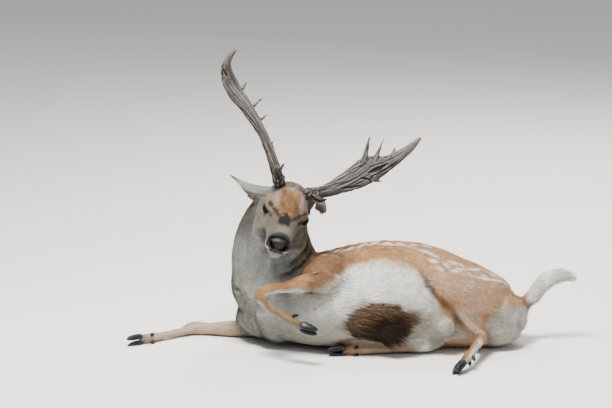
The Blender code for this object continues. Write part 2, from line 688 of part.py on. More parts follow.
# ---------------------------------------------------------------- parting the flesh
def sleeve(stations, side, margin=0.010):
    """A region round a stretch of limb, flat at its start and closed past its end."""
    rows = [(*r[:3], *(1.15 * v + margin for v in r[3:6])) for r in stations]
    return loft("region", rows, side, steps=1, points=10, domed=(False, True))


def leg_region(plan):
    """The limb down to its knee or hock, and from there to past the claws, as one region."""
    start, joint = plan["joints"]
    halves = [sleeve(plan["shaft"][start:joint + 1], plan["side"]),
              sleeve(plan["shaft"][joint:], plan["side"], margin=0.006)]
    return thinned(fused("region", halves, 0.006, 0), 170)


def head_region():
    """A prism in the head's frame that holds the head and leaves the throat to the neck."""
    profile = [(-0.092, 0.130), (0.230, 0.130), (0.230, -0.120), (0.020, -0.120), (-0.092, -0.028)]
    bm = bmesh.new()
    loops = [[bm.verts.new(on_head(left, *point)) for point in profile] for left in (-0.13, 0.13)]
    for k in range(len(profile)):
        after = (k + 1) % len(profile)
        bm.faces.new((loops[0][k], loops[0][after], loops[1][after], loops[1][k]))
    bm.faces.new(loops[0])
    bm.faces.new(loops[1])
    bmesh.ops.recalc_face_normals(bm, faces=bm.faces)
    mesh = bpy.data.meshes.new("head_region")
    bm.to_mesh(mesh)
    bm.free()
    return link("head_region", mesh)


def half_space(at, normal):
    """A large box on the far side of a plane."""
    turn = Vector(normal).normalized().to_track_quat("Z", "Y").to_matrix().to_4x4()
    box = block("region", (-1, -1, 0), (1, 1, 2))
    box.data.transform(Matrix.Translation(Vector(at)) @ turn)
    return box


def detail_weight(point):
    """How much of the mesh to keep at a point: most on the face, next on the feet."""
    if (point - HEAD_AT - HEAD.col[1] * 0.04).length < 0.15:
        return 0.9
    near_claw = min((point - Vector(leg["tip"])).length for leg in LEGS.values())
    return 0.5 if near_claw < 0.20 else 0.0


def part_flesh(flesh):
    """Parts the whole skin into head, legs, tail, neck and trunk."""
    pieces = [part_off(flesh, "head", head_region())]
    for leg, plan in LEGS.items():
        hand, end = leg.split("_")
        pieces.append(part_off(flesh, end + "leg_" + hand, leg_region(plan)))
    pieces.append(part_off(flesh, "tail", sleeve(TAIL[1:], (-0.7, 0.0, 0.7), margin=0.012)))
    pieces.append(part_off(flesh, "neck", half_space((-0.190, 0.02, 0.215), (-0.62, 0.0, 0.78))))
    flesh.name = "trunk"
    return [*pieces, largest_body(flesh)]


def cut_at_floor(objects):
    """Gives what lies on the floor its flats at Z = 0."""
    for obj in objects:
        if min(v.co.z for v in obj.data.vertices) < 0:
            floor = block("floor", (-2, -2, -1), (2, 2, 0))
            boolean(obj, floor, "DIFFERENCE")
            bpy.data.objects.remove(floor, do_unlink=True)
            largest_body(obj)


def finish(objects, mat, colour_name):
    for obj in objects:
        obj.data.materials.clear()
        obj.data.materials.append(mat)
        obj.data.name = obj.name
        obj["finish"] = colour_name
        obj.data.shade_smooth()


def centred(objects):
    """Moves the pieces together, so that the origin is on the floor below the middle of their box."""
    points = np.array([v.co for obj in objects for v in obj.data.vertices])
    middle = (points.min(axis=0) + points.max(axis=0)) / 2
    for obj in objects:
        obj.data.transform(Matrix.Translation((-middle[0], -middle[1], 0.0)))
    return middle


def main():
    clear_scene()
    flesh = fused("flesh", body_forms() + head_forms(), FLESH_VOXEL, 9)
    thinned(flesh, FLESH_FACES, detail_weight)
    claws = [claw for leg in LEGS for claw in foot(leg)]
    cut_at_floor([flesh, *claws])
    eyes = [eye(1, "eye_left"), eye(-1, "eye_right")]
    nose = nose_pad()
    antlers = [antler(name) for name in ANTLERS]
    for piece in [*claws, *eyes, nose]:
        let_in(flesh, piece)
    for beam, _, _ in antlers:
        let_in(flesh, beam)
    ears = [ear(name) for name in EARS]
    for piece in ears:
        inside = swollen(flesh, "inside", GAP)
        boolean(piece, inside, "DIFFERENCE")
        bpy.data.objects.remove(inside, do_unlink=True)
        largest_body(piece)
    pieces = part_flesh(flesh)
    finish([*pieces, *ears], material("coat", COAT["tan"], 0.8), "coat")
    finish(claws, material("horn", (0.10, 0.11, 0.13), 0.45), "horn")
    finish(eyes, material("eye", (0.02, 0.015, 0.012), 0.08), "eye")
    finish([nose], material("nose_leather", (0.03, 0.03, 0.035), 0.35), "nose_leather")
    finish([p for group in antlers for p in group], material("antler", (0.42, 0.35, 0.29), 0.65), "antler")
    print("middle", centred(list(parts.objects)))
    print("triangles", {o.name: sum(len(p.vertices) - 2 for p in o.data.polygons) for o in parts.objects})


main()
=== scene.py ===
"""Dresses a life-size fallow buck that lies on its right side: one skin with folds and lids,
its coat in tufts and locks, eyes, nose, hooves and antlers, and a plain stage."""

from math import cos, pi, radians, sin
from types import SimpleNamespace

import bmesh
import bpy
import numpy as np
from bpy.props import FloatProperty, FloatVectorProperty, IntProperty, PointerProperty
from mathutils import Matrix, Vector


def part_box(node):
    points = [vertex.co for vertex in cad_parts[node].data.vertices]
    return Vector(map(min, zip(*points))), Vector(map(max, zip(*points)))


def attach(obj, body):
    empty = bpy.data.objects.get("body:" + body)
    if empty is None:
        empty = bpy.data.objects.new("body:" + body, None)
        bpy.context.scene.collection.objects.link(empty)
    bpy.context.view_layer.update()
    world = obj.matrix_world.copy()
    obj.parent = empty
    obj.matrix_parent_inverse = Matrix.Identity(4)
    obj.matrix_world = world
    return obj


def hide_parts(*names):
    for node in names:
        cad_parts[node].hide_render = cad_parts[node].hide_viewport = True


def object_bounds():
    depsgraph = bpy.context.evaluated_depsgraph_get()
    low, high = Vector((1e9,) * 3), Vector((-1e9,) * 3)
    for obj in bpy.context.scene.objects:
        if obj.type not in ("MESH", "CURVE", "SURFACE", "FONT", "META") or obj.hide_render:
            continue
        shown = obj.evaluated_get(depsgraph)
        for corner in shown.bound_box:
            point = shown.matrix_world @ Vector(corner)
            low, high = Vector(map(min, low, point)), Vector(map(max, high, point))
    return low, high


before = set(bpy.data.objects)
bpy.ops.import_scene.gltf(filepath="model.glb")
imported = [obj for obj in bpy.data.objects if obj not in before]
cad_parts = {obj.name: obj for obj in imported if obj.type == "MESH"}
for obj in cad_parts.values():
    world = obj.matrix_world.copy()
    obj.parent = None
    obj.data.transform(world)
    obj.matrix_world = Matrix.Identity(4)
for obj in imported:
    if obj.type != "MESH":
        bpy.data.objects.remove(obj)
CAD_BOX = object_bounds()

bl_info = {
    "name": "Fallow Buck",
    "version": (1, 0, 0),
    "blender": (4, 5, 0),
    "location": "3D View > Sidebar > Deer",
    "description": "Builds the skin, coat, horn and stage of a lying fallow buck",
    "category": "Object",
}

# ---------------------------------------------------------------- the head's own frame
HEAD_SCALE = 1.05
HEAD_PITCH = radians(17)
HEAD_ROLL = radians(18)
HEAD_AT = Vector((-0.211, -0.060, 0.428))
EYE_PLACE = (0.0570, 0.006, 0.000)
FLESH = ("head", "neck", "trunk", "tail", "foreleg_left", "foreleg_right", "hindleg_left",
         "hindleg_right", "ear_left", "ear_right")
LEG_NAMES = ("left_fore", "right_fore", "left_hind", "right_hind")
EAR_NAMES = ("ear_left", "ear_right")


def head_frame():
    """Columns are the head's left, forward and up."""
    roll = Matrix.Rotation(HEAD_ROLL, 3, "Y")
    forward = roll @ Vector((0, -cos(HEAD_PITCH), -sin(HEAD_PITCH)))
    up = roll @ Vector((0, -sin(HEAD_PITCH), cos(HEAD_PITCH)))
    return Matrix((up.cross(forward), forward, up)).transposed()


HEAD = head_frame()
HEAD_AXES = np.array(HEAD)
HEAD_LEFT, HEAD_FORWARD = HEAD_AXES[:, 0], HEAD_AXES[:, 1]


def on_head(left, forward, up):
    return HEAD_AT + HEAD @ (Vector((left, forward, up)) * HEAD_SCALE)


def eye_at(hand):
    """The middle of the left eye for 1 and of the right eye for -1."""
    return on_head(hand * EYE_PLACE[0], *EYE_PLACE[1:])


def plan_shift():
    """What takes a place in the body's plan to its place in the frame."""
    low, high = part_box("eye_left")
    return (low + high) / 2 - eye_at(1)


SHIFT = np.array(plan_shift())


def head_line(*places):
    return tuple(tuple(on_head(*place)) for place in places)


# ---------------------------------------------------------------- lines that the coat follows
# Each line runs the way that the hair lies: its points, the reach of its pull, and the hair's
# length, lift in degrees, width and depth under the outline, and the tufts to a square cm.
LINES = {
    "trunk": (((-0.245, 0.020, 0.112), (-0.074, 0.000, 0.147), (0.112, 0.000, 0.161),
               (0.298, 0.004, 0.134), (0.470, 0.015, 0.090)), 0.150, (0.0155, 8, 0.0022, 0.0033, 13.2)),
    "neck": (((-0.205, 0.010, 0.462), (-0.247, 0.006, 0.362), (-0.252, 0.008, 0.300),
              (-0.244, 0.014, 0.232), (-0.234, 0.022, 0.170), (-0.215, 0.030, 0.100)), 0.105,
             (0.0118, 6, 0.0015, 0.0040, 27)),
    "tail": (((0.478, 0.030, 0.088), (0.547, 0.044, 0.130), (0.602, 0.052, 0.189), (0.634, 0.052, 0.203),
              (0.697, 0.050, 0.196)), 0.024, (0.0300, 14, 0.0022, 0.0080, 26)),
    "left_fore": (((-0.095, -0.110, 0.232), (-0.170, -0.172, 0.227), (-0.284, -0.180, 0.204),
                   (-0.287, -0.186, 0.189), (-0.268, -0.194, 0.170), (-0.158, -0.279, 0.121)), 0.026,
                  (0.0090, 9, 0.0015, 0.0016, 30)),
    "right_fore": (((-0.200, 0.060, 0.052), (-0.345, 0.088, 0.026), (-0.488, 0.112, 0.021),
                    (-0.512, 0.106, 0.021), (-0.578, 0.053, 0.015), (-0.666, -0.014, 0.015)), 0.028,
                   (0.0090, 9, 0.0015, 0.0016, 30)),
    "left_hind": (((0.390, -0.030, 0.176), (0.268, -0.102, 0.206), (0.270, -0.120, 0.178),
                   (0.340, -0.134, 0.110), (0.388, -0.142, 0.064), (0.367, -0.250, 0.050),
                   (0.323, -0.364, 0.025)), 0.036, (0.0100, 9, 0.0016, 0.0018, 27)),
    "right_hind": (((0.350, 0.045, 0.065), (0.262, 0.010, 0.050), (0.240, -0.088, 0.034),
                    (0.205, -0.128, 0.024), (0.062, -0.143, 0.015), (-0.032, -0.157, 0.015)), 0.030,
                   (0.0100, 9, 0.0016, 0.0018, 27)),
    "head": (head_line((0, 0.150, -0.030), (0, 0.060, -0.022), (0, 0.0, -0.014), (0, -0.095, -0.020)),
             0.060, (0.0058, 7, 0.0011, 0.0015, 47)),
    "ear_right": (head_line((-0.056, -0.072, 0.031), (-0.189, -0.088, 0.018)), 0.034,
                  (0.0046, 5, 0.0012, 0.0007, 27)),
    "ear_left": (head_line((0.056, -0.076, 0.028), (0.094, -0.172, 0.004)), 0.034,
                 (0.0046, 5, 0.0012, 0.0007, 27)),
}
LINE_NAMES = tuple(LINES)
LENGTH, LIFT, WIDTH, DEPTH, CROWD = range(5)
TRUNK, HEAD_LINE = LINE_NAMES.index("trunk"), LINE_NAMES.index("head")
POLL_BACK = 0.030                        # how much less far back the head's hair reaches on the poll
SQUARE_CM = 1e-4

# ---------------------------------------------------------------- folds and hollows of the skin
# A line of places, its half width, how far it stands out (a crease below 0) and how dark the
# painted shade in it is (a painted highlight on a crest below 0).
FOLDS = (
    (((-0.148, -0.027, 0.356), (-0.152, -0.045, 0.326), (-0.181, -0.071, 0.304), (-0.203, -0.081, 0.284)),
     0.0050, 0.0034, -0.55),
    (((-0.143, -0.020, 0.346), (-0.146, -0.041, 0.317), (-0.171, -0.068, 0.293), (-0.200, -0.082, 0.271)),
     0.0045, -0.0065, 0.85),
    (((-0.137, -0.013, 0.332), (-0.140, -0.037, 0.306), (-0.161, -0.065, 0.281), (-0.198, -0.082, 0.259),
      (-0.235, -0.092, 0.246)), 0.0060, 0.0042, -0.35),
    (((-0.134, -0.010, 0.316), (-0.139, -0.036, 0.297), (-0.166, -0.066, 0.271), (-0.204, -0.084, 0.248),
      (-0.245, -0.094, 0.236)), 0.0055, -0.0065, 0.8),
    (((-0.380, -0.007, 0.178), (-0.362, -0.050, 0.180), (-0.350, -0.062, 0.172)), 0.0050, -0.0060, 0.3),
    (((-0.354, -0.050, 0.180), (-0.352, -0.045, 0.150), (-0.372, -0.020, 0.118)), 0.0060, -0.0040, 0.3),
    (((0.226, -0.176, 0.136), (0.201, -0.182, 0.101), (0.155, -0.189, 0.063)), 0.0080, 0.0050, 0.0),
    (((0.214, -0.178, 0.128), (0.190, -0.184, 0.092), (0.146, -0.186, 0.060)), 0.0050, -0.0040, 0.25),
    (((0.190, -0.104, 0.262), (0.220, -0.142, 0.218), (0.248, -0.160, 0.188), (0.302, -0.160, 0.141),
      (0.342, -0.132, 0.068)), 0.0070, -0.0075, 0.6),
    (((-0.020, -0.112, 0.262), (-0.052, -0.160, 0.226), (-0.095, -0.196, 0.205)), 0.0080, -0.0050, 0.3),
    (((0.372, -0.118, 0.108), (0.420, -0.112, 0.116), (0.470, -0.085, 0.128)), 0.0110, -0.0035, 0.15),
)
FOLD_SLACK = 0.004                       # a line counts as this near, since the skin lies under it
RIB_PITCH, RIB_DEPTH = 0.036, 0.0009
SKIN_PASSES = 34                         # how often the fused skin is relaxed
FLESH_SWELL = 0.0005                     # how far the solids are swollen before they fuse
# How much relaxing each part takes.
GIVE = dict(trunk=1.0, neck=1.0, tail=0.45, head=0.22, ear_left=0.16, ear_right=0.16)
LEG_GIVE = 0.42

# The mouth, below the head's middle line, against how far forward it is.
MOUTH_FORWARD = (0.060, 0.085, 0.110, 0.135, 0.165)
MOUTH_UP = (-0.050, -0.0525, -0.0565, -0.0585, -0.0560)
MOUTH_DEPTH = 0.0026
TEAR_LINE = ((0.0590, 0.021, -0.003), (0.0510, 0.036, 0.002), (0.0430, 0.054, 0.005))
# Folds on both sides of the head, in its own frame: places, half width and height.
HEAD_FOLDS = (
    (TEAR_LINE, 0.0040, -0.0034),
    (((0.058, 0.030, -0.030), (0.045, 0.080, -0.036)), 0.006, 0.0016),
    (((0.064, 0.030, -0.062), (0.066, 0.0, -0.085), (0.064, -0.03, -0.09)), 0.010, 0.0022),
    (((0.026, 0.140, -0.016), (0.031, 0.146, -0.030)), 0.005, 0.0012),
    (((0.020, 0.062, 0.006), (0.027, 0.040, 0.018), (0.034, 0.028, 0.026)), 0.004, -0.0016),
)
LID_AXIS = (0.80, 0.60, 0.02)            # the way that the left eye looks, in the head's frame
LID_SLIT = (-0.25, 1.0, -0.30)           # the way that the opening between its lids runs
LID_HALF_WIDTH, LID_UPPER, LID_LOWER = 0.0138, 0.0050, 0.0058
LID_OUTER, LID_INNER = 0.0174, 0.0128
LID_CREASE, LID_BOW = 0.0062, 14.0       # how far the crease lies from the upper lid, and its bend
EYEBALL = 0.0150
# The nostril's comma on the nose pad: how far from the middle, and up.
NOSTRIL = ((0.0100, -0.0330), (0.0175, -0.0300), (0.0222, -0.0215))
NOSE_HEART = (0, 0.146, -0.0275)
NOSE_SWELL = 1.07
HORN_PITCH = 0.0033                      # from ring to ring on a hoof

# ---------------------------------------------------------------- antlers
# The line of beam and palm, then each tine's root and tip, the brow tine first.
ANTLER_LINES = {
    "right": ((-0.233, -0.038, 0.528), (-0.243, -0.034, 0.562), (-0.262, -0.010, 0.617),
              (-0.290, 0.012, 0.676), (-0.328, 0.032, 0.735), (-0.364, 0.046, 0.782),
              (-0.389, 0.050, 0.828), (-0.396, 0.046, 0.866), (-0.386, 0.036, 0.898),
              (-0.366, 0.026, 0.924)),
    "left": ((-0.138, -0.036, 0.484), (-0.112, -0.030, 0.487), (-0.074, -0.020, 0.495),
             (-0.040, -0.006, 0.507), (0.000, 0.012, 0.523), (0.046, 0.030, 0.547),
             (0.086, 0.046, 0.556), (0.124, 0.060, 0.572), (0.164, 0.072, 0.598), (0.206, 0.080, 0.636)),
}
ANTLER_TINES = {
    "right": (((-0.240, -0.040, 0.566), (-0.214, -0.150, 0.606)),
              ((-0.268, 0.004, 0.628), (-0.246, 0.040, 0.640)),
              ((-0.300, 0.045, 0.700), (-0.268, 0.098, 0.712)),
              ((-0.322, 0.062, 0.742), (-0.282, 0.128, 0.760)),
              ((-0.352, 0.080, 0.790), (-0.330, 0.150, 0.812)),
              ((-0.388, 0.080, 0.836), (-0.384, 0.128, 0.880)),
              ((-0.400, 0.030, 0.842), (-0.412, 0.004, 0.892))),
    "left": (((-0.118, -0.046, 0.482), (-0.084, -0.150, 0.492)),
             ((0.030, 0.030, 0.583), (0.052, 0.052, 0.662)),
             ((0.067, 0.044, 0.584), (0.094, 0.066, 0.641)),
             ((0.112, 0.058, 0.580), (0.132, 0.078, 0.614)),
             ((0.146, 0.068, 0.590), (0.182, 0.090, 0.588)),
             ((0.056, 0.026, 0.520), (0.092, 0.036, 0.508))),
}
# The clefts in the near face of the left palm: places along the palm and up, half width.
CLEFTS = {
    "right": (),
    "left": ((((0.043, 0.540), (0.062, 0.547), (0.084, 0.553), (0.106, 0.565)), 0.0068),
             (((0.021, 0.5265), (0.052, 0.5180)), 0.0034),
             (((0.056, 0.5290), (0.098, 0.546), (0.136, 0.5685)), 0.0026),
             (((-0.040, 0.5010), (-0.010, 0.4985), (0.020, 0.5020)), 0.0036)),
}
CLEFT_DEPTH = 0.0030
ANTLER_LIGHT = {"right": 0.14, "left": 0.34}     # how strongly the faces turned up and to the front take painted light

# ---------------------------------------------------------------- the markings' places and tones
# The left thigh's fore edge: heights and how far back it lies.
THIGH_EDGE = ((0.060, 0.140, 0.188, 0.2535), (0.345, 0.302, 0.248, 0.194))
# The angle on the trunk below which it is white, against the place along the body.
WHITE_EDGE = ((-0.30, -0.14, -0.08, -0.01, 0.10, 0.16, 0.21, 0.26, 0.36, 0.40, 0.423, 0.46, 0.50, 0.53),
              (-10, -50, -44, -12, -15, -22, -34, -72, -88, -76, -60, -48, -37, 0))
# Rows of spots: angle on the trunk, pitch, and where along the body the row starts and ends.
SPOT_ROWS = ((30, 0.040, -0.20, 0.25), (46, 0.046, -0.22, 0.42), (62, 0.044, -0.22, 0.45),
             (78, 0.034, -0.24, 0.47), (2, 0.042, 0.20, 0.40), (-12, 0.040, 0.24, 0.34),
             (16, 0.044, 0.26, 0.44))
ROW_BEND = ((-0.2, 0.0, 0.12, 0.25, 0.45), (-4, 0, 0, -6, -4))
FLANK_LINE = ((-0.05, 0.03, 0.10, 0.17, 0.25), (25, 32, 25, 20, 6))
HAUNCH_LINE = ((0.34, 0.37, 0.42, 0.47), (-13, -14, -10, 1))
FROWN_LINE = ((0.012, 0.078, 0.021), (0.019, 0.069, 0.022), (0.030, 0.055, 0.022),
              (0.0435, 0.034, 0.024), (0.056, 0.010, 0.024))
ELBOW_AT = (-0.078, -0.178, 0.236)
BRUSH_AT = (0.078, -0.185, 0.106)
POUCH_AT = (0.277, -0.160, 0.092)
TONES = {name: np.array(tone) for name, tone in dict(
    haunch=(0.60, 0.41, 0.265), belly_edge=(0.60, 0.49, 0.36), floor_side=(0.60, 0.52, 0.42),
    thigh=(0.56, 0.39, 0.265), belly_shade=(0.34, 0.33, 0.28), neck_streak=(0.13, 0.105, 0.085),
    crest=(0.100, 0.084, 0.064), neck_side=(0.165, 0.115, 0.078), breast=(0.46, 0.465, 0.44),
    nape=(0.150, 0.098, 0.060), chest=(0.40, 0.40, 0.365), right_fore=(0.60, 0.50, 0.40),
    shank=(0.66, 0.55, 0.44), forearm=(0.165, 0.128, 0.096), right_hind=(0.50, 0.385, 0.285),
    tail_skin=(0.50, 0.33, 0.29), brush_edge=(0.190, 0.125, 0.070), face=(0.142, 0.117, 0.088),
    shaded_left_cheek=(0.085, 0.074, 0.050), upper_face=(0.262, 0.192, 0.130), brow_rim=(0.52, 0.44, 0.36),
    frown=(0.017, 0.014, 0.013), bridge_patch=(0.012, 0.010, 0.010), bridge=(0.215, 0.190, 0.165),
    muzzle=(0.036, 0.038, 0.044), lip=(0.62, 0.55, 0.47), chin=(0.50, 0.47, 0.43),
    mouth=(0.030, 0.022, 0.020), eye_ring=(0.50, 0.46, 0.40), lids=(0.010, 0.008, 0.007),
    left_ear=(0.128, 0.112, 0.096), brush_brown=(0.105, 0.060, 0.031), straw=(0.24, 0.175, 0.11),
    bristle=(0.020, 0.015, 0.012), eye_white=(0.010, 0.007, 0.006), iris=(0.007, 0.004, 0.003),
    pupil=(0.004, 0.004, 0.006), nose=(0.008, 0.008, 0.009), painted_nose_shine=(0.042, 0.036, 0.034),
    nostril=(0.003, 0.002, 0.002), worn_hoof=(0.16, 0.13, 0.11), painted_top_light=(0.190, 0.186, 0.188),
    ridge=(0.235, 0.218, 0.204), cleft=(0.010, 0.008, 0.006), tine_tip=(0.22, 0.18, 0.14),
).items()}
SKIN_SHADE = 0.80                        # the skin under the coat is this much darker


# ---------------------------------------------------------------- values that a user may change
class SkinValues(bpy.types.PropertyGroup):
    grain: FloatProperty(name="Grain", description="Spacing at which the flesh is fused into one skin",
                         default=0.0024, min=0.0015, unit="LENGTH")
    triangles: IntProperty(name="Triangles", description="Triangles left in the skin", default=146000)


class CoatValues(bpy.types.PropertyGroup):
    amount: FloatProperty(name="Amount", description="Share of the full number of tufts", default=1.0,
                          min=0.05, max=1.2, subtype="FACTOR")
    seed: IntProperty(name="Seed", description="Order in which the tufts are set", default=11)
    tan: FloatVectorProperty(name="Tan", description="Side and haunch", subtype="COLOR",
                             default=(0.460, 0.275, 0.150))
    back: FloatVectorProperty(name="Back", description="Along the spine", subtype="COLOR",
                              default=(0.240, 0.130, 0.068))
    white: FloatVectorProperty(name="White", description="Belly, rump and spots", subtype="COLOR",
                               default=(0.86, 0.84, 0.80))
    grey: FloatVectorProperty(name="Grey", description="Neck and cheeks", subtype="COLOR",
                              default=(0.142, 0.122, 0.094))
    pale: FloatVectorProperty(name="Pale", description="Throat", subtype="COLOR",
                              default=(0.285, 0.300, 0.290))
    rufous: FloatVectorProperty(name="Rufous", description="Forehead", subtype="COLOR",
                                default=(0.230, 0.128, 0.058))
    dark: FloatVectorProperty(name="Dark", description="Brush, tear line and tail stripe", subtype="COLOR",
                              default=(0.045, 0.026, 0.015))


class HornValues(bpy.types.PropertyGroup):
    bone: FloatVectorProperty(name="Antler", description="Ridges of the antlers", subtype="COLOR",
                              default=(0.080, 0.070, 0.063))
    groove: FloatVectorProperty(name="Groove", description="Grooves of the antlers", subtype="COLOR",
                                default=(0.013, 0.009, 0.007))
    hoof: FloatVectorProperty(name="Hoof", description="Claws", subtype="COLOR",
                              default=(0.016, 0.018, 0.023))
    grain: FloatProperty(name="Grain", description="Spacing of the antler's mesh", default=0.0017,
                         unit="LENGTH")


class StageValues(bpy.types.PropertyGroup):
    floor: FloatVectorProperty(name="Floor", description="Floor and backdrop", subtype="COLOR",
                               default=(0.74, 0.73, 0.71))
    distance: FloatProperty(name="Distance", description="From the deer to the camera", default=12.0,
                            unit="LENGTH")
    lens: FloatProperty(name="Lens", description="Focal length in millimetres", default=227.7)
    elevation: FloatProperty(name="Elevation", description="Camera above the floor, as an angle",
                             default=radians(12), subtype="ANGLE")


def values():
    """The values of skin, coat, horn and stage."""
    scene = bpy.context.scene
    return scene.deer_skin, scene.deer_coat, scene.deer_horn, scene.deer_stage


# ---------------------------------------------------------------- numbers over a mesh
def read_mesh(items, attribute, width, kind=float):
    found = np.empty(len(items) * width, kind)
    items.foreach_get(attribute, found)
    return found.reshape(-1, width)


def points_of(mesh):
    return read_mesh(mesh.vertices, "co", 3)


def normals_of(mesh):
    return read_mesh(mesh.vertices, "normal", 3)


def edges_of(mesh):
    return read_mesh(mesh.edges, "vertices", 2, np.int32)


def move_to(mesh, points):
    mesh.vertices.foreach_set("co", np.ascontiguousarray(points, float).ravel())
    mesh.update()


def unit(rows, least=1e-9):
    """Each row at a length of 1."""
    return rows / np.maximum(np.linalg.norm(rows, axis=-1, keepdims=True), least)


def relaxed(field, edges, passes, share):
    """Each value drawn towards the mean of its neighbours, `share` of the way in each pass."""
    first, second = edges.T
    size = len(field)
    count = np.maximum(np.bincount(first, minlength=size) + np.bincount(second, minlength=size), 1)
    share = np.broadcast_to(share, size)[:, None]
    for _ in range(passes):
        total = np.stack([np.bincount(first, column[second], size)
                          + np.bincount(second, column[first], size) for column in field.T], axis=1)
        field = field + (total / count[:, None] - field) * share
    return field


def step(low, high, value):
    """0 below `low`, 1 above `high`, and smooth between."""
    t = np.clip((value - low) / (high - low), 0, 1)
    return t * t * (3 - 2 * t)


def bell(value, half):
    return np.exp(-(value / half)**2)


def band(value, low, high, top, end):
    """Rises from `low` to `high` and falls from `top` to `end`."""
    return step(low, high, value) * step(end, top, value)


def within(share, end):
    """1 along a line, falling to 0 over the length `end` at either end."""
    return band(share, 0.0, end, 1 - end, 1.0)


def along_line(points, line):
    """Distance from a line of points, how far along it, from 0 to 1, and its direction there."""
    return line_frame(points, line)[:3]


def line_frame(points, line):
    """As along_line, and also the nearest place on the line."""
    line = np.array(line, float)
    ends, ways = line[:-1], line[1:] - line[:-1]
    lengths = np.linalg.norm(ways, axis=1)
    before = np.concatenate([[0], np.cumsum(lengths)])
    best = np.full(len(points), 1e9)
    share = np.zeros(len(points))
    way, foot = np.zeros((len(points), 3)), np.zeros((len(points), 3))
    straight = ways / lengths[:, None]
    smooth = np.vstack([straight[:1], (straight[1:] + straight[:-1]) / 2, straight[-1:]])
    for i, (end, run, length) in enumerate(zip(ends, ways, lengths)):
        t = np.clip((points - end) @ run / length**2, 0, 1)
        place = end + t[:, None] * run
        gap = np.linalg.norm(points - place, axis=1)
        near = gap < best
        best[near], foot[near] = gap[near], place[near]
        share[near] = ((before[i] + t * length) / before[-1])[near]
        way[near] = (smooth[i] * (1 - t[:, None]) + smooth[i + 1] * t[:, None])[near]
    return best, share, way, foot


def lattice(cells):
    """A repeatable value from 0 to 1 for each cell of a grid."""
    mixed = cells @ np.array((374761393, 668265263, 2147483647)) & 0xFFFFFFFF
    mixed = ((mixed ^ (mixed >> 13)) * 1274126177) & 0xFFFFFFFF
    return ((mixed ^ (mixed >> 16)) & 0xFFFF) / 65535.0


def mottle(points, size, octaves=2):
    """Soft noise from 0 to 1 with features about `size` across."""
    total, weight, amount = 0.0, 0.0, 1.0
    for _ in range(octaves):
        scaled = points / size
        base = np.floor(scaled).astype(np.int64)
        part = scaled - base
        part = part * part * (3 - 2 * part)
        value = 0.0
        for corner in np.ndindex(2, 2, 2):
            share = np.prod(np.where(corner, part, 1 - part), axis=-1)
            value = value + share * lattice(base + np.array(corner))
        total, weight = total + amount * value, weight + amount
        size, amount = size * 0.5, amount * 0.55
    return total / weight


def head_places(points):
    """Left, forward and up in the head's frame."""
    return (points - np.array(HEAD_AT)) @ HEAD_AXES / HEAD_SCALE


def side_angle(points):
    """Degrees round the trunk: 90 on the spine, 0 on the middle of either side, -90 under the belly."""
    x, (run, aside, height) = points[:, 0], np.array(LINES["trunk"][0]).T
    out = points - np.stack([x, np.interp(x, run, aside), np.interp(x, run, height)], axis=1)
    spine, left = out @ np.array((0, 0.93, 0.37)), out @ np.array((0, -0.37, 0.93))
    return np.degrees(np.arctan2(spine, np.abs(left)))


def by_line(rows):
    """Each line's row under the line's name."""
    return dict(zip(LINE_NAMES, rows))


def pulls(points):
    """How strongly each line holds a place, the way its hair lies, and how far along the line it is."""
    weights, ways, shares = [], [], []
    for places, reach, _ in LINES.values():
        gap, share, way = along_line(points, places)
        weights.append(1.0 / np.maximum(gap / reach, 0.12)**6)
        ways.append(way)
        shares.append(share)
    weights = np.array(weights)
    left, forward, up = head_places(points).T
    wide = np.abs(left)
    for name in EAR_NAMES:
        near = by_line(weights)[name]
        near *= 1 + 40 * step(0.12, 0.35, near) * step(0.058, 0.075, wide)
    forward = forward + POLL_BACK * step(0.0, 0.02, up)
    inside = step(0.085, 0.070, wide) * step(-0.095, -0.075, up) * step(-0.110, -0.085, forward)
    weights[HEAD_LINE] *= (1 + 30 * inside) * np.maximum(step(-0.118, -0.088, forward), 0.01)
    weights /= weights.sum(axis=0)
    return weights, np.array(ways), np.array(shares)


def lie_of(points, normals, weights, ways):
    """The way that the hair lies, along the surface."""
    way = np.einsum("ln,lnk->nk", weights, ways)
    way = way + weights[TRUNK][:, None] * 0.30 * np.array((0.0, -0.93, -0.37))
    left, _, up = head_places(points).T
    spread = np.sign(left) * step(0.0, 0.03, np.abs(left)) * step(-0.02, 0.03, up) * 0.6
    way = way + (weights[HEAD_LINE] * spread)[:, None] * HEAD_LEFT
    return unit(way - normals * np.sum(way * normals, axis=1, keepdims=True), 1e-6)


# ---------------------------------------------------------------- markings, for the skin and the coat alike
def spots(x, angle, points):
    """White spots in rows along the side, fused into a line above the belly and on the haunch."""
    found = np.zeros(len(x))
    for k, (row, pitch, start, end) in enumerate(SPOT_ROWS):
        cell = np.floor(x / pitch)
        for shift in (-1, 0, 1):
            at = cell + shift
            place = np.stack([at, np.full_like(at, k * 7.0), np.sign(points[:, 2] - 0.1)], axis=1)
            jitter, lift, size = (lattice(place.astype(np.int64) + start) for start in (0, 31, 57))
            middle = (at + 0.5 + 0.5 * (jitter - 0.5)) * pitch
            height = row + 9 * (lift - 0.5) + np.interp(middle, *ROW_BEND)
            large = np.interp(middle, (0.12, 0.20), (1.0, 1.35)) * (row < 40) + (row >= 40)
            across = (angle - height) * 0.0026 / (0.0050 + 0.003 * size)
            gap = np.hypot((x - middle) / (0.0070 + 0.0045 * size), across) / large
            on = (middle > start) & (middle < end)
            found = np.maximum(found, step(1.25, 0.75, gap) * on * (0.70 + 0.30 * lift))
    flank, haunch = np.interp(x, *FLANK_LINE), np.interp(x, *HAUNCH_LINE)
    line = step(3.4, 1.6, np.abs(angle - flank)) * band(x, -0.065, -0.03, 0.23, 0.27)
    second = step(3.2, 1.4, np.abs(angle - haunch)) * band(x, 0.325, 0.345, 0.46, 0.48)
    broken = step(0.30, 0.45, mottle(points, 0.011, 1))
    return np.maximum(found, np.maximum(line, second) * (0.35 + 0.65 * broken))


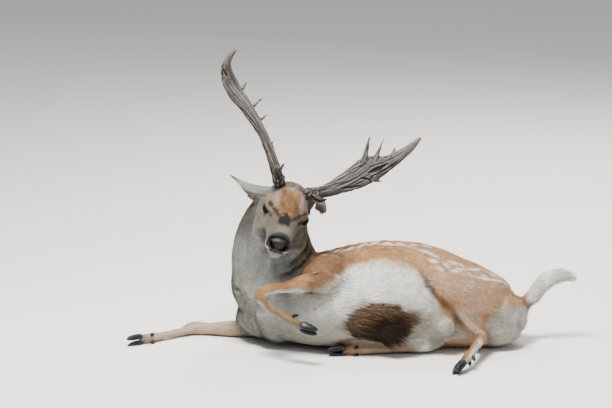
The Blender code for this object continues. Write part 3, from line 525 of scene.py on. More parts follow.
def blended(colour, other, mask):
    return colour + (np.asarray(other) - colour) * mask[:, None]


def even(colour, points):
    """The colour once for each place."""
    return np.tile(colour, (len(points), 1))


def layered(colour, *layers):
    """Each tone laid over the ones before it, as strongly as its mask says."""
    for tone, mask in layers:
        colour = blended(colour, TONES[tone] if isinstance(tone, str) else tone, mask)
    return colour


def trunk_colour(points, normals, at):
    x, angle, wave, height = points[:, 0], at.angle, at.wave, points[:, 2]
    edge = angle - np.interp(x, *WHITE_EDGE) + 12 * wave + 5 * at.fine
    fore_edge = x - np.interp(height, *THIGH_EDGE) + 0.02 * wave
    thigh = step(-0.004, 0.010, fore_edge) * step(0.405, 0.375, x) * step(-0.05, -0.08, points[:, 1])
    white = step(9, -7, edge)
    return layered(
        even(at.tan, points),
        (at.back, 0.75 * step(15, 85, angle + 26 * wave)),
        (at.tan * 1.18, 0.6 * step(10, -14, angle + 20 * wave)),
        # the forequarter's sides a darker tan: partly the coat's own tone, partly painted shade
        (at.tan * 0.50, 0.80 * step(0.05, -0.06, x + 0.08 * wave) * step(80, 40, angle)),
        ("haunch", 0.60 * step(0.08, 0.30, x) * step(32, 2, angle + 20 * wave)),
        (at.white, white),
        ("belly_edge", 0.35 * step(-14, -4, edge) * step(10, -3, edge)),
        ("floor_side", 0.35 * step(0.10, 0.02, height) * step(-0.3, -0.9, normals[:, 1])),
        ("thigh", thigh * band(height, 0.040, 0.055, 0.24, 0.27)),
        ("belly_shade", 0.72 * white * step(0.235, 0.06, height + 0.1 * wave)),
        (at.white * 1.04, 0.95 * spots(x, angle, points) * step(-2, 8, edge)))


def neck_colour(points, normals, at):
    across, ahead, wave, height = normals[:, 0], normals[:, 1], at.wave, points[:, 2]
    throat = normals @ np.array((-0.32, -0.94, -0.10))
    streak = mottle(points * np.array((1.0, 1.0, 0.22)), 0.010, 2)
    crest = step(0.31, 0.40, height) * step(-0.24, -0.27, points[:, 0] + 0.02 * wave)
    breast = step(0.15, -0.65, across + 0.4 * wave) * step(0.40, 0.30, height) * step(0.2, -0.3, ahead)
    neck = layered(
        even(at.grey, points),
        (at.pale, step(0.35, 0.85, throat + 0.6 * wave)),
        ("neck_streak", 0.55 * step(0.52, 0.68, streak) * step(0.95, 0.45, throat)))
    return layered(
        neck * (0.74 + 0.46 * streak)[:, None],
        ("crest", 0.60 * crest),
        ("neck_side", 0.75 * step(0.05, 0.75, across + 0.6 * ahead + 0.3 * wave)),
        ("breast", 0.55 * breast * (0.5 + streak)),
        ("nape", 0.65 * step(0.1, 0.7, ahead + 0.4 * wave)))


def leg_colour(points, normals, at):
    on, wave = at.on, at.wave
    fore, right_fore, hind, right_hind = (at.along[name] for name in LEG_NAMES)
    under = step(0.05, -0.55, normals[:, 2] + 0.4 * wave)
    elbow = step(0.030, 0.018, np.linalg.norm(points - np.array(ELBOW_AT), axis=1))
    left = layered(
        even(at.tan * 1.04, points),
        (at.white, 0.6 * under * step(0.5, 0.62, hind)),
        ("shank", 0.75 * band(hind, 0.36, 0.44, 0.58, 0.64) * step(0.2, 0.8, -normals[:, 1] + 0.4 * wave)),
        (at.back * 1.35, 0.55 * step(0.62, 0.72, hind) * step(0.1, -0.6, normals[:, 0])),
        (at.white, 0.9 * step(0.64, 0.74, hind) * step(0.1, 0.7, normals[:, 0] + 0.5 * wave)))
    right = layered(
        even(at.white * 0.94, points),
        ("right_hind", step(0.45, 0.60, right_hind + 0.2 * wave)),
        (at.tan * 0.8, 0.7 * step(0.86, 0.95, right_hind + 0.3 * wave)))
    return layered(
        even(at.tan * 1.05, points),
        (at.white, under * step(0.0, 0.1, on["left_fore"])),
        (at.white, 0.9 * elbow),
        ("right_fore", 0.85 * on["right_fore"] * step(0.05, 0.2, right_fore)),
        ("forearm", 0.6 * on["left_fore"] * step(0.45, 0.7, fore)),
        (left, step(0.2, 0.6, on["left_hind"])),
        (right, step(0.2, 0.6, on["right_hind"])))


def fold_shades(colour, points):
    """Painted shade in the folds' grooves and a painted highlight on their crests."""
    for line, half, _, shade in FOLDS:
        if shade:
            gap, share, _ = along_line(points, line)
            near = bell(np.maximum(gap - FOLD_SLACK, 0), half)
            colour = colour * (1 - shade * (0.25 + 0.75 * within(share, 0.2)) * near)[:, None]
    return colour


def tail_colour(points, normals, at):
    along = at.along["tail"]
    stripe = normals @ np.array((-0.40, 0.72, 0.56))
    return layered(
        even(at.white, points),
        (at.dark * 1.2, 0.9 * step(0.66, 0.90, stripe + 0.3 * at.wave) * band(along, 0.02, 0.10, 0.8, 0.95)),
        ("tail_skin", 0.7 * step(0.1, -0.5, stripe) * step(0.40, 0.15, along)))


def face_colour(points, at, left, forward, up):
    wide, wave, fine = np.abs(left), at.wave, at.fine
    mirrored = np.stack([wide, forward, up], axis=1)
    frown, tear = (along_line(mirrored, line)[0] for line in (FROWN_LINE, TEAR_LINE))
    patch = np.hypot(left / 0.0185, (forward - 0.083) / 0.0265)
    bridge = np.hypot(left / 0.020, (forward - 0.114) / 0.018)
    along, across, out, gap = lid_places(left, forward, up)
    outside = out > 0
    slit = np.hypot(np.maximum(np.abs(along) - 0.011, 0), across)
    jaw = 0.55 * step(-0.035, -0.075, up) * step(-0.08, -0.04, forward)
    top = (step(0.068, 0.048, np.abs(left - 0.012) + 0.014 * wave) * step(-0.010, 0.010, up)
           * step(0.014, -0.008, forward + 0.85 * wide - 0.072) * step(-0.125, -0.100, forward))
    upper = step(-0.004, 0.014, up) * step(0.060, 0.030, forward) * step(0.075, 0.060, wide)
    rim = (band(wide, 0.020, 0.030, 0.040, 0.050) * step(0.006, 0.020, up)
           * band(forward, -0.03, -0.005, 0.030, 0.046))
    muzzle = step(0.130, 0.138, forward + 0.25 * np.maximum(0, -0.030 - up)) * step(-0.055, -0.050, up)
    crease = bell(lid_crease(along, across), 0.0022) * step(0.022, 0.012, np.abs(along)) * outside
    return layered(
        even(TONES["face"], points) * (0.86 + 0.30 * mottle(points, 0.006, 2))[:, None],
        (at.pale * 0.82, jaw + 0.25 * step(0.03, 0.06, wide) * step(0.0, -0.03, up)),
        # painted shade on the left cheek, which is darker than the right one
        ("shaded_left_cheek", 0.55 * step(0.030, 0.050, left) * step(0.0, -0.03, up)),
        ("upper_face", 0.70 * upper),
        (at.forehead, 0.85 * top),
        ("brow_rim", 0.55 * rim),
        ("frown", 0.84 * step(0.0090, 0.0018, frown + 0.006 * fine)),
        ("bridge_patch", 0.96 * step(1.15, 0.70, patch + 0.4 * fine) * step(-0.01, 0.005, up)),
        ("bridge", 0.60 * step(1.2, 0.6, bridge) * step(-0.02, -0.005, up)),
        ("muzzle", 0.97 * muzzle),
        ("lip", 0.8 * step(0.0085, 0.0045, np.abs(up + 0.0515)) * step(0.016, 0.026, wide)
         * step(0.095, 0.115, forward)),
        ("chin", 0.75 * step(-0.058, -0.064, up) * step(0.075, 0.10, forward)),
        ("mouth", 0.9 * mouth_mask(forward, up)),
        (at.dark * 0.6, 0.92 * step(0.0085, 0.0035, tear)),
        # painted shade along the crease over the upper lid
        (at.dark * 1.2, 0.8 * crease),
        ("eye_ring", 0.30 * step(0.023, 0.017, np.hypot(along * 0.8, across + 0.004)) * outside),
        ("lids", 0.97 * step(0.0130, 0.0085, slit) * outside * (gap < 0.0250)))


def ear_colour(points, normals, at):
    left, right = (at.on[name] for name in EAR_NAMES)
    left_along, along = (at.along[name] for name in EAR_NAMES)
    back = step(0.15, 0.75, normals[:, 2] - 0.2 * normals[:, 1]) * step(0.9, 0.7, along)
    return layered(
        even(at.grey * 1.1, points) * (0.75 + 0.5 * mottle(points, 0.012, 2))[:, None],
        (at.dark * 1.4, 0.6 * right * step(0.80, 0.97, along)),
        (at.dark * 1.4, 0.6 * left * step(0.80, 0.97, left_along)),
        ("left_ear", 0.7 * left),
        (at.pale * 1.1, 0.85 * right * back),
        (at.dark * 1.7, 0.75 * right * step(-0.25, -0.7, normals[:, 2])))


def markings(points, normals, weights, shares):
    """The coat's colour at each place."""
    coat = values()[1]
    at = SimpleNamespace(on=by_line(weights), along=by_line(shares), angle=side_angle(points),
                         wave=mottle(points, 0.045) - 0.5, fine=mottle(points, 0.008, 1) - 0.5)
    for name in ("tan", "back", "white", "grey", "pale", "rufous", "dark"):
        setattr(at, name, np.array(getattr(coat, name)))
    at.forehead = at.rufous * (1 + 0.5 * at.wave[:, None] + 0.7 * at.fine[:, None])
    on, along, wave, x, height = at.on, at.along, at.wave, points[:, 0], points[:, 2]
    chest = (step(-0.14, -0.23, x + 0.03 * wave) * step(66, 18, at.angle + 18 * wave)
             * (1 - step(0.5, 0.8, on["neck"]) * step(0.10, 0.16, height)))
    legs, ears = (sum(on[name] for name in names) for names in (LEG_NAMES, EAR_NAMES))
    fetlock = sum(on[name] * step(0.93, 0.985, along[name]) for name in LEG_NAMES)
    neck = step(0.10, 0.78, on["neck"] + 0.45 * wave) * step(0.085, 0.15, height)
    colour = layered(
        trunk_colour(points, normals, at),
        (neck_colour(points, normals, at), neck),
        # the chest in a darker grey: partly its own tone, partly painted shade below the neck
        ("chest", 0.9 * chest),
        (leg_colour(points, normals, at), step(0.35, 0.75, legs)),
        (at.dark * 2.2, 0.45 * fetlock))
    away = points - np.array(BRUSH_AT)
    far = np.hypot((away[:, 0] + 0.004) / 0.112, away[:, 2] / 0.068) + 0.7 * wave
    brush = step(-0.110, -0.14, points[:, 1]) * (1 - step(0.5, 0.8, legs))
    left, forward, up = head_places(points).T
    crown = (step(0.058, 0.036, np.abs(left - 0.008)) * step(0.005, 0.022, up)
             * band(forward, -0.128, -0.098, -0.070, -0.050))
    colour = layered(
        fold_shades(colour, points),
        (tail_colour(points, normals, at), step(0.08, 0.35, on["tail"]) * step(0.485, 0.505, x)),
        ("brush_edge", 0.8 * brush * step(1.30, 0.80, far)),
        (at.dark * 1.6, brush * step(1.00, 0.62, far)),
        (face_colour(points, at, left, forward, up), step(0.30, 0.66, on["head"] + ears)),
        (at.forehead * 1.05, 0.62 * crown),
        (ear_colour(points, normals, at), step(0.45, 0.8, ears)))
    return np.clip(colour * (0.94 + 0.12 * at.fine[:, None]), 0.003, 0.92)


def mouth_mask(forward, up):
    gap = np.abs(up - np.interp(forward, MOUTH_FORWARD, MOUTH_UP))
    return step(0.0032, 0.0012, gap) * step(0.072, 0.090, forward)


def eye_axes():
    """Out of the left eye, along its slit and across it, in the head's frame."""
    look, slit = unit(np.array(LID_AXIS)), np.array(LID_SLIT)
    slit = unit(slit - look * (slit @ look))
    above = np.cross(look, slit)
    return look, slit, above * np.sign(above[2])


def lid_places(left, forward, up):
    """Along the slit of the eye, across it, out of the eye, and the distance from its middle."""
    look, slit, above = eye_axes()
    away = (np.stack([np.abs(left), forward, up], axis=1) - np.array(EYE_PLACE)) * HEAD_SCALE
    return away @ slit, away @ above, away @ look, np.linalg.norm(away, axis=1)


def lid_crease(along, across):
    """How far above the crease over the upper lid a place is."""
    return across - LID_UPPER - LID_CREASE + LID_BOW * along**2


def lid_ratio(along, across):
    """Below 1 inside the opening between the lids, 1 on their rims."""
    across = across + 0.0012
    bow = np.clip(1 - (along / LID_HALF_WIDTH)**2, 0.02, 1)
    half = np.where(across > 0, LID_UPPER, LID_LOWER) * bow**0.8
    return np.maximum(np.abs(across) / half, np.abs(along) / LID_HALF_WIDTH)


# ---------------------------------------------------------------- making and finishing pieces
def select_only(*objects):
    bpy.ops.object.select_all(action="DESELECT")
    for obj in objects:
        obj.select_set(True)
    bpy.context.view_layer.objects.active = objects[0]


def new_object(name, mesh):
    obj = bpy.data.objects.new(name, mesh)
    bpy.context.scene.collection.objects.link(obj)
    return obj


def cad_copy(name, nodes, swell):
    """The solids of these nodes in one new object, each merged and swollen a little."""
    bm = bmesh.new()
    for node in nodes:
        part = bmesh.new()
        part.from_mesh(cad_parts[node].data)
        bmesh.ops.remove_doubles(part, verts=part.verts, dist=1e-6)
        part.normal_update()
        for vert, normal in [(v, v.normal.copy()) for v in part.verts]:
            vert.co += normal * swell
        mesh = bpy.data.meshes.new("part")
        part.to_mesh(mesh)
        part.free()
        bm.from_mesh(mesh)
        bpy.data.meshes.remove(mesh)
    mesh = bpy.data.meshes.new(name)
    bm.to_mesh(mesh)
    bm.free()
    return new_object(name, mesh)


def use_modifier(obj, kind, **settings):
    select_only(obj)
    modifier = obj.modifiers.new(kind.lower(), kind)
    for key, value in settings.items():
        setattr(modifier, key, value)
    bpy.ops.object.modifier_apply(modifier=modifier.name)


def add_ball(at, radius):
    bpy.ops.object.select_all(action="DESELECT")
    bpy.ops.mesh.primitive_uv_sphere_add(segments=48, ring_count=24, radius=radius, location=at)
    bpy.ops.object.transform_apply(location=True, rotation=True, scale=True)
    return bpy.context.object


def join_into(obj, others):
    select_only(obj, *others)
    bpy.ops.object.join()


def triangles_in(mesh):
    return sum(len(p.vertices) - 2 for p in mesh.polygons)


def paint(mesh, name, colours):
    """A colour for each point."""
    if name in mesh.color_attributes:
        mesh.color_attributes.remove(mesh.color_attributes[name])
    layer = mesh.color_attributes.new(name, "FLOAT_COLOR", "POINT")
    filled = np.ones((len(mesh.vertices), 4), np.float32)
    filled[:, :3] = colours
    layer.data.foreach_set("color", filled.ravel())


def finish(obj, nodes=()):
    """The piece rides on the deer's one body and stands for these solids."""
    obj.data.shade_smooth()
    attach(obj, "root")
    if nodes:
        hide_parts(*nodes)
    return obj


# ---------------------------------------------------------------- materials
def group(name, inputs, outputs):
    tree = bpy.data.node_groups.new(name, "ShaderNodeTree")
    for label, kind, default in inputs:
        socket = tree.interface.new_socket(label, in_out="INPUT", socket_type=kind)
        if default is not None:
            socket.default_value = default
    for label, kind in outputs:
        tree.interface.new_socket(label, in_out="OUTPUT", socket_type=kind)
    return tree, tree.nodes.new("NodeGroupInput"), tree.nodes.new("NodeGroupOutput")


def varied_group():
    """A colour made lighter and darker in soft patches, and a fine grain for bump."""
    found = bpy.data.node_groups.get("varied")
    if found:
        return found
    tree, start, end = group(
        "varied",
        (("Colour", "NodeSocketColor", None), ("Patch Scale", "NodeSocketFloat", 40.0),
         ("Patch Strength", "NodeSocketFloat", 0.2), ("Grain Scale", "NodeSocketFloat", 900.0)),
        (("Colour", "NodeSocketColor"), ("Grain", "NodeSocketFloat")))
    new = tree.nodes.new
    place, spread, scaled = (new("ShaderNode" + kind) for kind in ("TexCoord", "MapRange", "VectorMath"))
    patch, grain = new("ShaderNodeTexNoise"), new("ShaderNodeTexNoise")
    low, high = new("ShaderNodeMath"), new("ShaderNodeMath")
    patch.inputs["Detail"].default_value, grain.inputs["Detail"].default_value = 3.0, 2.0
    spread.inputs["From Min"].default_value, spread.inputs["From Max"].default_value = 0.25, 0.75
    low.operation, high.operation, scaled.operation = "SUBTRACT", "ADD", "SCALE"
    low.inputs[0].default_value = high.inputs[0].default_value = 1.0
    for source, output, target, socket in (
            (place, "Object", patch, "Vector"), (place, "Object", grain, "Vector"),
            (start, "Patch Scale", patch, "Scale"), (start, "Grain Scale", grain, "Scale"),
            (start, "Patch Strength", low, 1), (start, "Patch Strength", high, 1),
            (patch, "Fac", spread, "Value"), (low, 0, spread, "To Min"), (high, 0, spread, "To Max"),
            (start, "Colour", scaled, 0), (spread, "Result", scaled, "Scale"),
            (scaled, "Vector", end, "Colour"), (grain, "Fac", end, "Grain")):
        tree.links.new(source.outputs[output], target.inputs[socket])
    return tree


def finish_material(name, attribute, roughness, patch, grain, **uniform):
    """Colour from the mesh's own paint, varied in patches, with a fine grain in bump."""
    mat = bpy.data.materials.get(name)
    if mat:
        return mat
    mat = bpy.data.materials.new(name)
    mat.use_nodes = True
    nodes, link = mat.node_tree.nodes, mat.node_tree.links.new
    shader = nodes["Principled BSDF"]
    colour = nodes.new("ShaderNodeAttribute")
    colour.attribute_name = attribute
    varied = nodes.new("ShaderNodeGroup")
    varied.node_tree = varied_group()
    varied.inputs["Patch Scale"].default_value, varied.inputs["Patch Strength"].default_value = patch
    varied.inputs["Grain Scale"].default_value = grain[0]
    link(colour.outputs["Color"], varied.inputs["Colour"])
    link(varied.outputs["Colour"], shader.inputs["Base Color"])
    shader.inputs["Roughness"].default_value = roughness
    if grain[1]:
        bump = nodes.new("ShaderNodeBump")
        bump.inputs["Strength"].default_value = 0.6
        bump.inputs["Distance"].default_value = grain[1]
        link(varied.outputs["Grain"], bump.inputs["Height"])
        link(bump.outputs["Normal"], shader.inputs["Normal"])
    for socket, value in uniform.items():
        shader.inputs[socket.replace("_", " ")].default_value = value
    mat.diffuse_color = (0.5, 0.4, 0.3, 1)
    return mat


def coat_material():
    return finish_material("deer_coat", "coat_colour", 0.72, (60.0, 0.10), (1400.0, 0.0),
                           Specular_IOR_Level=0.25, Sheen_Weight=0.15, Sheen_Roughness=0.5)


def skin_material():
    return finish_material("deer_skin", "coat_colour", 0.78, (60.0, 0.10), (1100.0, 0.0006),
                           Specular_IOR_Level=0.2, Sheen_Weight=0.1)


# ---------------------------------------------------------------- the skin
def line_values(weights, which):
    return np.array([LINES[name][2][which] for name in LINE_NAMES]) @ weights


def give_of(points):
    """How much of the relaxing each place takes: less on the face, feet and ears."""
    return np.array([GIVE.get(name, LEG_GIVE) for name in LINE_NAMES]) @ pulls(points)[0]


def sculpt(points, normals, weights):
    """Folds, creases, ribs, tear line, mouth and nostril wings."""
    out = np.zeros(len(points))
    for line, half, height, _ in FOLDS:
        gap, share, _ = along_line(points, line)
        out += height * bell(np.maximum(gap - FOLD_SLACK, 0), half) * (0.35 + 0.65 * within(share, 0.15))
    angle, x = side_angle(points), points[:, 0]
    ribs = band(x, -0.14, -0.06, 0.12, 0.20) * band(angle, -60, -20, 40, 70)
    out += RIB_DEPTH * ribs * weights[TRUNK] * np.sin(2 * pi * (x + 0.0006 * angle) / RIB_PITCH)
    out += 0.0012 * (mottle(points, 0.05) - 0.5) * weights[TRUNK]
    left, forward, up = head_places(points).T
    wide = np.abs(left)
    head = weights[HEAD_LINE] * ((wide < 0.12) & (forward > -0.08) & (up > -0.11) & (forward < 0.18))
    out -= MOUTH_DEPTH * mouth_mask(forward, up) * head
    for line, half, height in HEAD_FOLDS:
        gap = along_line(np.stack([wide, forward, up], axis=1), line)[0]
        out += height * bell(gap, half) * head
    return points + normals * out[:, None]


def make_room_for_nose(points):
    """Draws the skin back from behind the nose pad."""
    left, forward, up = head_places(points).T
    ratio = np.hypot(left / 0.0285, (up - NOSE_HEART[2]) / 0.0205)
    back = 0.0055 * step(1.42, 1.02, ratio) * step(0.128, 0.140, forward)
    return points - HEAD_FORWARD * back[:, None]


def shape_lids(points):
    """Pushes the skin in between the lids and draws their rims, creases and the brow."""
    left, forward, up = head_places(points).T
    along, across, out, gap = lid_places(left, forward, up)
    here = (gap < 0.030) & (out > -0.004) & (np.abs(left) > 0.03)
    ratio = lid_ratio(along, across)
    rim = bell(ratio - 1.25, 0.22)
    crease = bell(lid_crease(along, across), 0.0013)
    lower = bell(across + LID_LOWER + LID_CREASE - 12 * along**2, 0.0014)
    brow = bell(across - 0.0150 + 12 * along**2, 0.0042)
    covered = step(0.0215, 0.0185, gap)
    radius = gap + rim * 0.0006 * covered + 0.0024 * brow
    radius -= 0.0011 * (crease + 0.7 * lower) * step(0.015, 0.010, np.abs(along))
    hole = step(1.08, 0.92, ratio) * covered
    radius = radius * (1 - hole) + LID_INNER * hole
    middle = np.where((left > 0)[:, None], np.array(eye_at(1)), np.array(eye_at(-1)))
    moved = middle + (points - middle) * (radius / np.maximum(gap, 1e-6))[:, None]
    return np.where(here[:, None], moved, points)


def face_detail(obj):
    """Finer faces round the eyes, nose and mouth."""
    bm = bmesh.new()
    bm.from_mesh(obj.data)
    bm.verts.ensure_lookup_table()
    left, forward, up = head_places(points_of(obj.data) - SHIFT).T
    muzzle = (forward > 0.085) & (forward < 0.18) & (up > -0.085) & (np.abs(left) < 0.05)
    fine = (lid_places(left, forward, up)[3] < 0.024) | muzzle
    chosen = [f for f in bm.faces if all(fine[v.index] for v in f.verts)]
    edges = list({e for f in chosen for e in f.edges})
    bmesh.ops.subdivide_edges(bm, edges=edges, cuts=1, use_grid_fill=True)
    bmesh.ops.triangulate(bm, faces=[f for f in bm.faces if len(f.verts) > 3])
    bm.to_mesh(obj.data)
    bm.free()


def thin_out(skin, places, triangles):
    """Fewer faces, most of them kept on the head and ears."""
    on = by_line(pulls(places)[0])
    value = np.clip(on["head"] + on["ear_left"] + on["ear_right"], 0, 1)
    keep = skin.vertex_groups.new(name="keep")
    for level in range(1, 11):
        keep.add(np.nonzero(np.ceil(value * 10) == level)[0].tolist(), level / 10, "REPLACE")
    use_modifier(skin, "DECIMATE", ratio=triangles / triangles_in(skin.data), vertex_group="keep",
                 vertex_group_factor=0.5, invert_vertex_group=True)
    skin.vertex_groups.clear()


def unwrap(obj):
    select_only(obj)
    bpy.ops.object.mode_set(mode="EDIT")
    bpy.ops.mesh.select_all(action="SELECT")
    bpy.ops.uv.smart_project(angle_limit=radians(66), island_margin=0.002)
    bpy.ops.object.mode_set(mode="OBJECT")
    obj.data.uv_layers.active.name = "OFBake"


def make_skin():
    skin_values = values()[0]
    skin = cad_copy("skin", FLESH, FLESH_SWELL)
    join_into(skin, [add_ball(eye_at(hand) + Vector(SHIFT), LID_OUTER) for hand in (1, -1)])
    use_modifier(skin, "REMESH", mode="VOXEL", voxel_size=skin_values.grain)
    points = points_of(skin.data)
    points = relaxed(points, edges_of(skin.data), SKIN_PASSES, 0.5 * give_of(points - SHIFT))
    move_to(skin.data, points)
    thin_out(skin, points - SHIFT, skin_values.triangles)
    face_detail(skin)
    mesh = skin.data
    points, normals, edges = points_of(mesh) - SHIFT, normals_of(mesh), edges_of(mesh)
    weights = pulls(points)[0]
    depth = relaxed(line_values(weights, DEPTH)[:, None], edges, 12, 0.5)
    grounded = step(0.006, 0.001, points[:, 2])
    points = sculpt(points - normals * depth * (1 - 0.8 * grounded)[:, None], normals, weights)
    points = shape_lids(make_room_for_nose(points))
    points[:, 2] = np.maximum(points[:, 2], 0.0)
    move_to(mesh, points + SHIFT)
    unwrap(skin)
    weights, _, shares = pulls(points)
    paint(mesh, "coat_colour", markings(points, normals_of(mesh), weights, shares) * SKIN_SHADE)
    mesh.materials.clear()
    mesh.materials.append(skin_material())
    return finish(skin, FLESH)


# ---------------------------------------------------------------- the coat
LEAF = np.array(((0, 1, 3), (0, 3, 2), (1, 4, 3), (3, 4, 2), (0, 2, 1), (1, 2, 4)))
# each tuft point's painted shade: darker at the root, where the tufts shade each other, lighter towards the
# tip
LEAF_SHADE = np.array((0.80, 0.97, 0.97, 1.03, 1.12))
LEAF_MAP = np.array(((0.0, -0.0015), (-0.0015, -0.0004), (0.0015, -0.0004), (0.0, 0.0), (0.0, 0.0015)))
SOFTNESS = 0.50                          # share of the skin's own shading that a tuft takes
TUFT_ROUND = 0.35                        # how far a tuft's shading turns away at its sides
COAT_PARTS = {"trunk": "body", "neck": "neck", "tail": "tail", "head": "head", "ear_left": "ears",
              "ear_right": "ears", "left_fore": "forelegs", "right_fore": "forelegs",
              "left_hind": "hindlegs", "right_hind": "hindlegs"}
MOST_TUFTS = 32500


def hollows(mesh):
    """From 0 on open skin to 1 deep in a crease."""
    points = points_of(mesh)
    under = np.sum((relaxed(points, edges_of(mesh), 12, 0.5) - points) * normals_of(mesh), axis=1)
    return np.clip(under / 0.0020, 0, 1)


def scattered(mesh, rng, crowd):
    """Places on the mesh, about `crowd` to a square metre: point, normal, skin map and how hollow it is."""
    mesh.calc_loop_triangles()
    size = len(mesh.loop_triangles)
    corners, loops = (read_mesh(mesh.loop_triangles, kind, 3, np.int32) for kind in ("vertices", "loops"))
    points, normals = points_of(mesh), normals_of(mesh)
    uvs = read_mesh(mesh.uv_layers["OFBake"].uv, "vector", 2)
    a, b, c = (points[corners[:, k]] for k in range(3))
    area = np.linalg.norm(np.cross(b - a, c - a), axis=1) / 2
    wanted = area * crowd[corners].mean(axis=1)
    count = np.floor(wanted + rng.random(size)).astype(int)
    which = np.repeat(np.arange(size), count)
    first, second = rng.random(len(which)), rng.random(len(which))
    over = first + second > 1
    first[over], second[over] = 1 - first[over], 1 - second[over]
    share = np.stack([1 - first - second, first, second], axis=1)[:, :, None]
    point, normal = ((field[corners[which]] * share).sum(axis=1) for field in (points, normals))
    return (point, unit(normal, 1e-6), (uvs[loops[which]] * share).sum(axis=1),
            (hollows(mesh)[corners[which]] * share[:, :, 0]).sum(axis=1))


def swayed(lie, normals, plan, size, waves, loose, rng):
    """Neighbouring hairs lean the same way, and each a little its own."""
    lean = (mottle(plan, size, 2) - 0.5) * waves + (rng.random(len(plan)) - 0.5) * loose
    return unit(lie + np.cross(normals, lie) * lean[:, None])


def hair_mesh(name, hairs, faces, normals, shade, tones, local, margin, colours, uvs, rng):
    """One closed solid for each hair. `hairs` and `normals` hold its points in order, `shade` and
    `local` each point's painted shade (darker at the root) and its place on the skin map, beside the hair's
    own colour and place."""
    count, size = hairs.shape[:2]
    low, high = (np.array(v) for v in CAD_BOX)
    faces = (faces[None] + size * np.arange(count)[:, None, None]).reshape(-1, 3)
    mesh = bpy.data.meshes.new(name)
    mesh.vertices.add(count * size)
    mesh.vertices.foreach_set("co", np.clip(hairs, low + margin, high - margin).ravel())
    mesh.loops.add(faces.size)
    mesh.loops.foreach_set("vertex_index", faces.ravel().astype(np.int32))
    mesh.polygons.add(len(faces))
    mesh.polygons.foreach_set("loop_start", np.arange(0, faces.size, 3, dtype=np.int32))
    mesh.update(calc_edges=True)
    mesh.shade_smooth()
    softness = SOFTNESS * (0.15 if "ears" in name else 0.5 if "tail" in name else 1)
    soft = softness * unit(normals.reshape(-1, 3)) + (1 - softness) * normals_of(mesh)
    mesh.normals_split_custom_set_from_vertices(unit(soft))
    tone = 1 + tones * (rng.random((count, 1, 1)) - 0.5) * 2
    painted = np.clip(colours[:, None, :] * shade[None, :, None] * tone, 0.002, 0.95)
    paint(mesh, "coat_colour", painted.reshape(-1, 3))
    layer = mesh.uv_layers.new(name="OFBake")
    layer.uv.foreach_set("vector", (uvs[:, None, :] + local[None]).reshape(-1, 2)[faces.ravel()].ravel())
    mesh.materials.append(coat_material())
    return mesh


def tuft_mesh(name, roots, normals, ways, lengths, widths, lifts, colours, uvs, rng):
    """Flat leaf-shaped tufts, each a closed solid of six faces."""
    side = np.cross(normals, ways)
    length, width = lengths[:, None], widths[:, None]
    rise = np.tan(lifts)[:, None] * length
    middle = roots + ways * 0.34 * length + normals * 0.22 * rise
    hairs = np.stack((roots - normals * 0.0008, middle - side * width / 2, middle + side * width / 2,
                      roots + ways * 0.42 * length + normals * (0.34 * rise + 0.16 * width),
                      roots + ways * length + normals * rise), axis=1)
    soft = np.stack((normals, normals - TUFT_ROUND * side, normals + TUFT_ROUND * side, normals,
                     normals + 0.2 * ways), axis=1)
    return hair_mesh(name, hairs, LEAF, soft, LEAF_SHADE, 0.16, LEAF_MAP, 0.0003, colours, uvs, rng)


def coat_fields(points, normals, weights, shares):
    """Length, lift, width and tufts to a square metre at each place."""
    length, lift, width = (line_values(weights, k) for k in (LENGTH, LIFT, WIDTH))
    on, along = by_line(weights), by_line(shares)
    length = length * (1 + 0.25 * on["trunk"] * step(-25, -45, side_angle(points)))
    left, forward, up = head_places(points).T
    slit, across, out, gap = lid_places(left, forward, up)
    face = step(0.4, 0.8, on["head"])
    length = length * (1 - 0.50 * step(0.07, 0.13, forward) * face)
    curls = face * step(0.040, 0.026, np.abs(left)) * step(0.0, 0.014, up) * step(0.050, 0.030, forward)
    length, lift = length * (1 + 0.55 * curls), lift * (1 + 0.7 * curls)
    bare = step(1.7, 1.35, lid_ratio(slit, across)) * (gap < 0.024) * (out > 0)
    bare = np.maximum(bare, mouth_mask(forward, up) * face)
    near_eye = step(0.030, 0.020, gap) * (out > 0)
    length, width = length * (1 - 0.45 * near_eye), width * (1 - 0.25 * near_eye)
    pouch = step(0.045, 0.030, np.linalg.norm(points - np.array(POUCH_AT), axis=1))
    length = length * (1 - 0.45 * pouch)
    for name in LEG_NAMES:
        foot = on[name] * step(0.55, 0.85, along[name])
        length, width = length * (1 - 0.25 * foot), width * (1 - 0.12 * foot)
    for name in EAR_NAMES:
        length = length * (1 - 0.55 * on[name] * step(0.45, 0.85, along[name]))
    underneath = step(-0.75, -0.92, normals[:, 2]) * step(0.03, 0.015, points[:, 2])
    hidden = np.maximum(step(0.004, 0.0015, points[:, 2]), 0.75 * underneath)
    crowd = line_values(weights, CROWD) / SQUARE_CM
    return length, np.radians(lift), width, crowd * (1 - bare) * (1 - hidden)


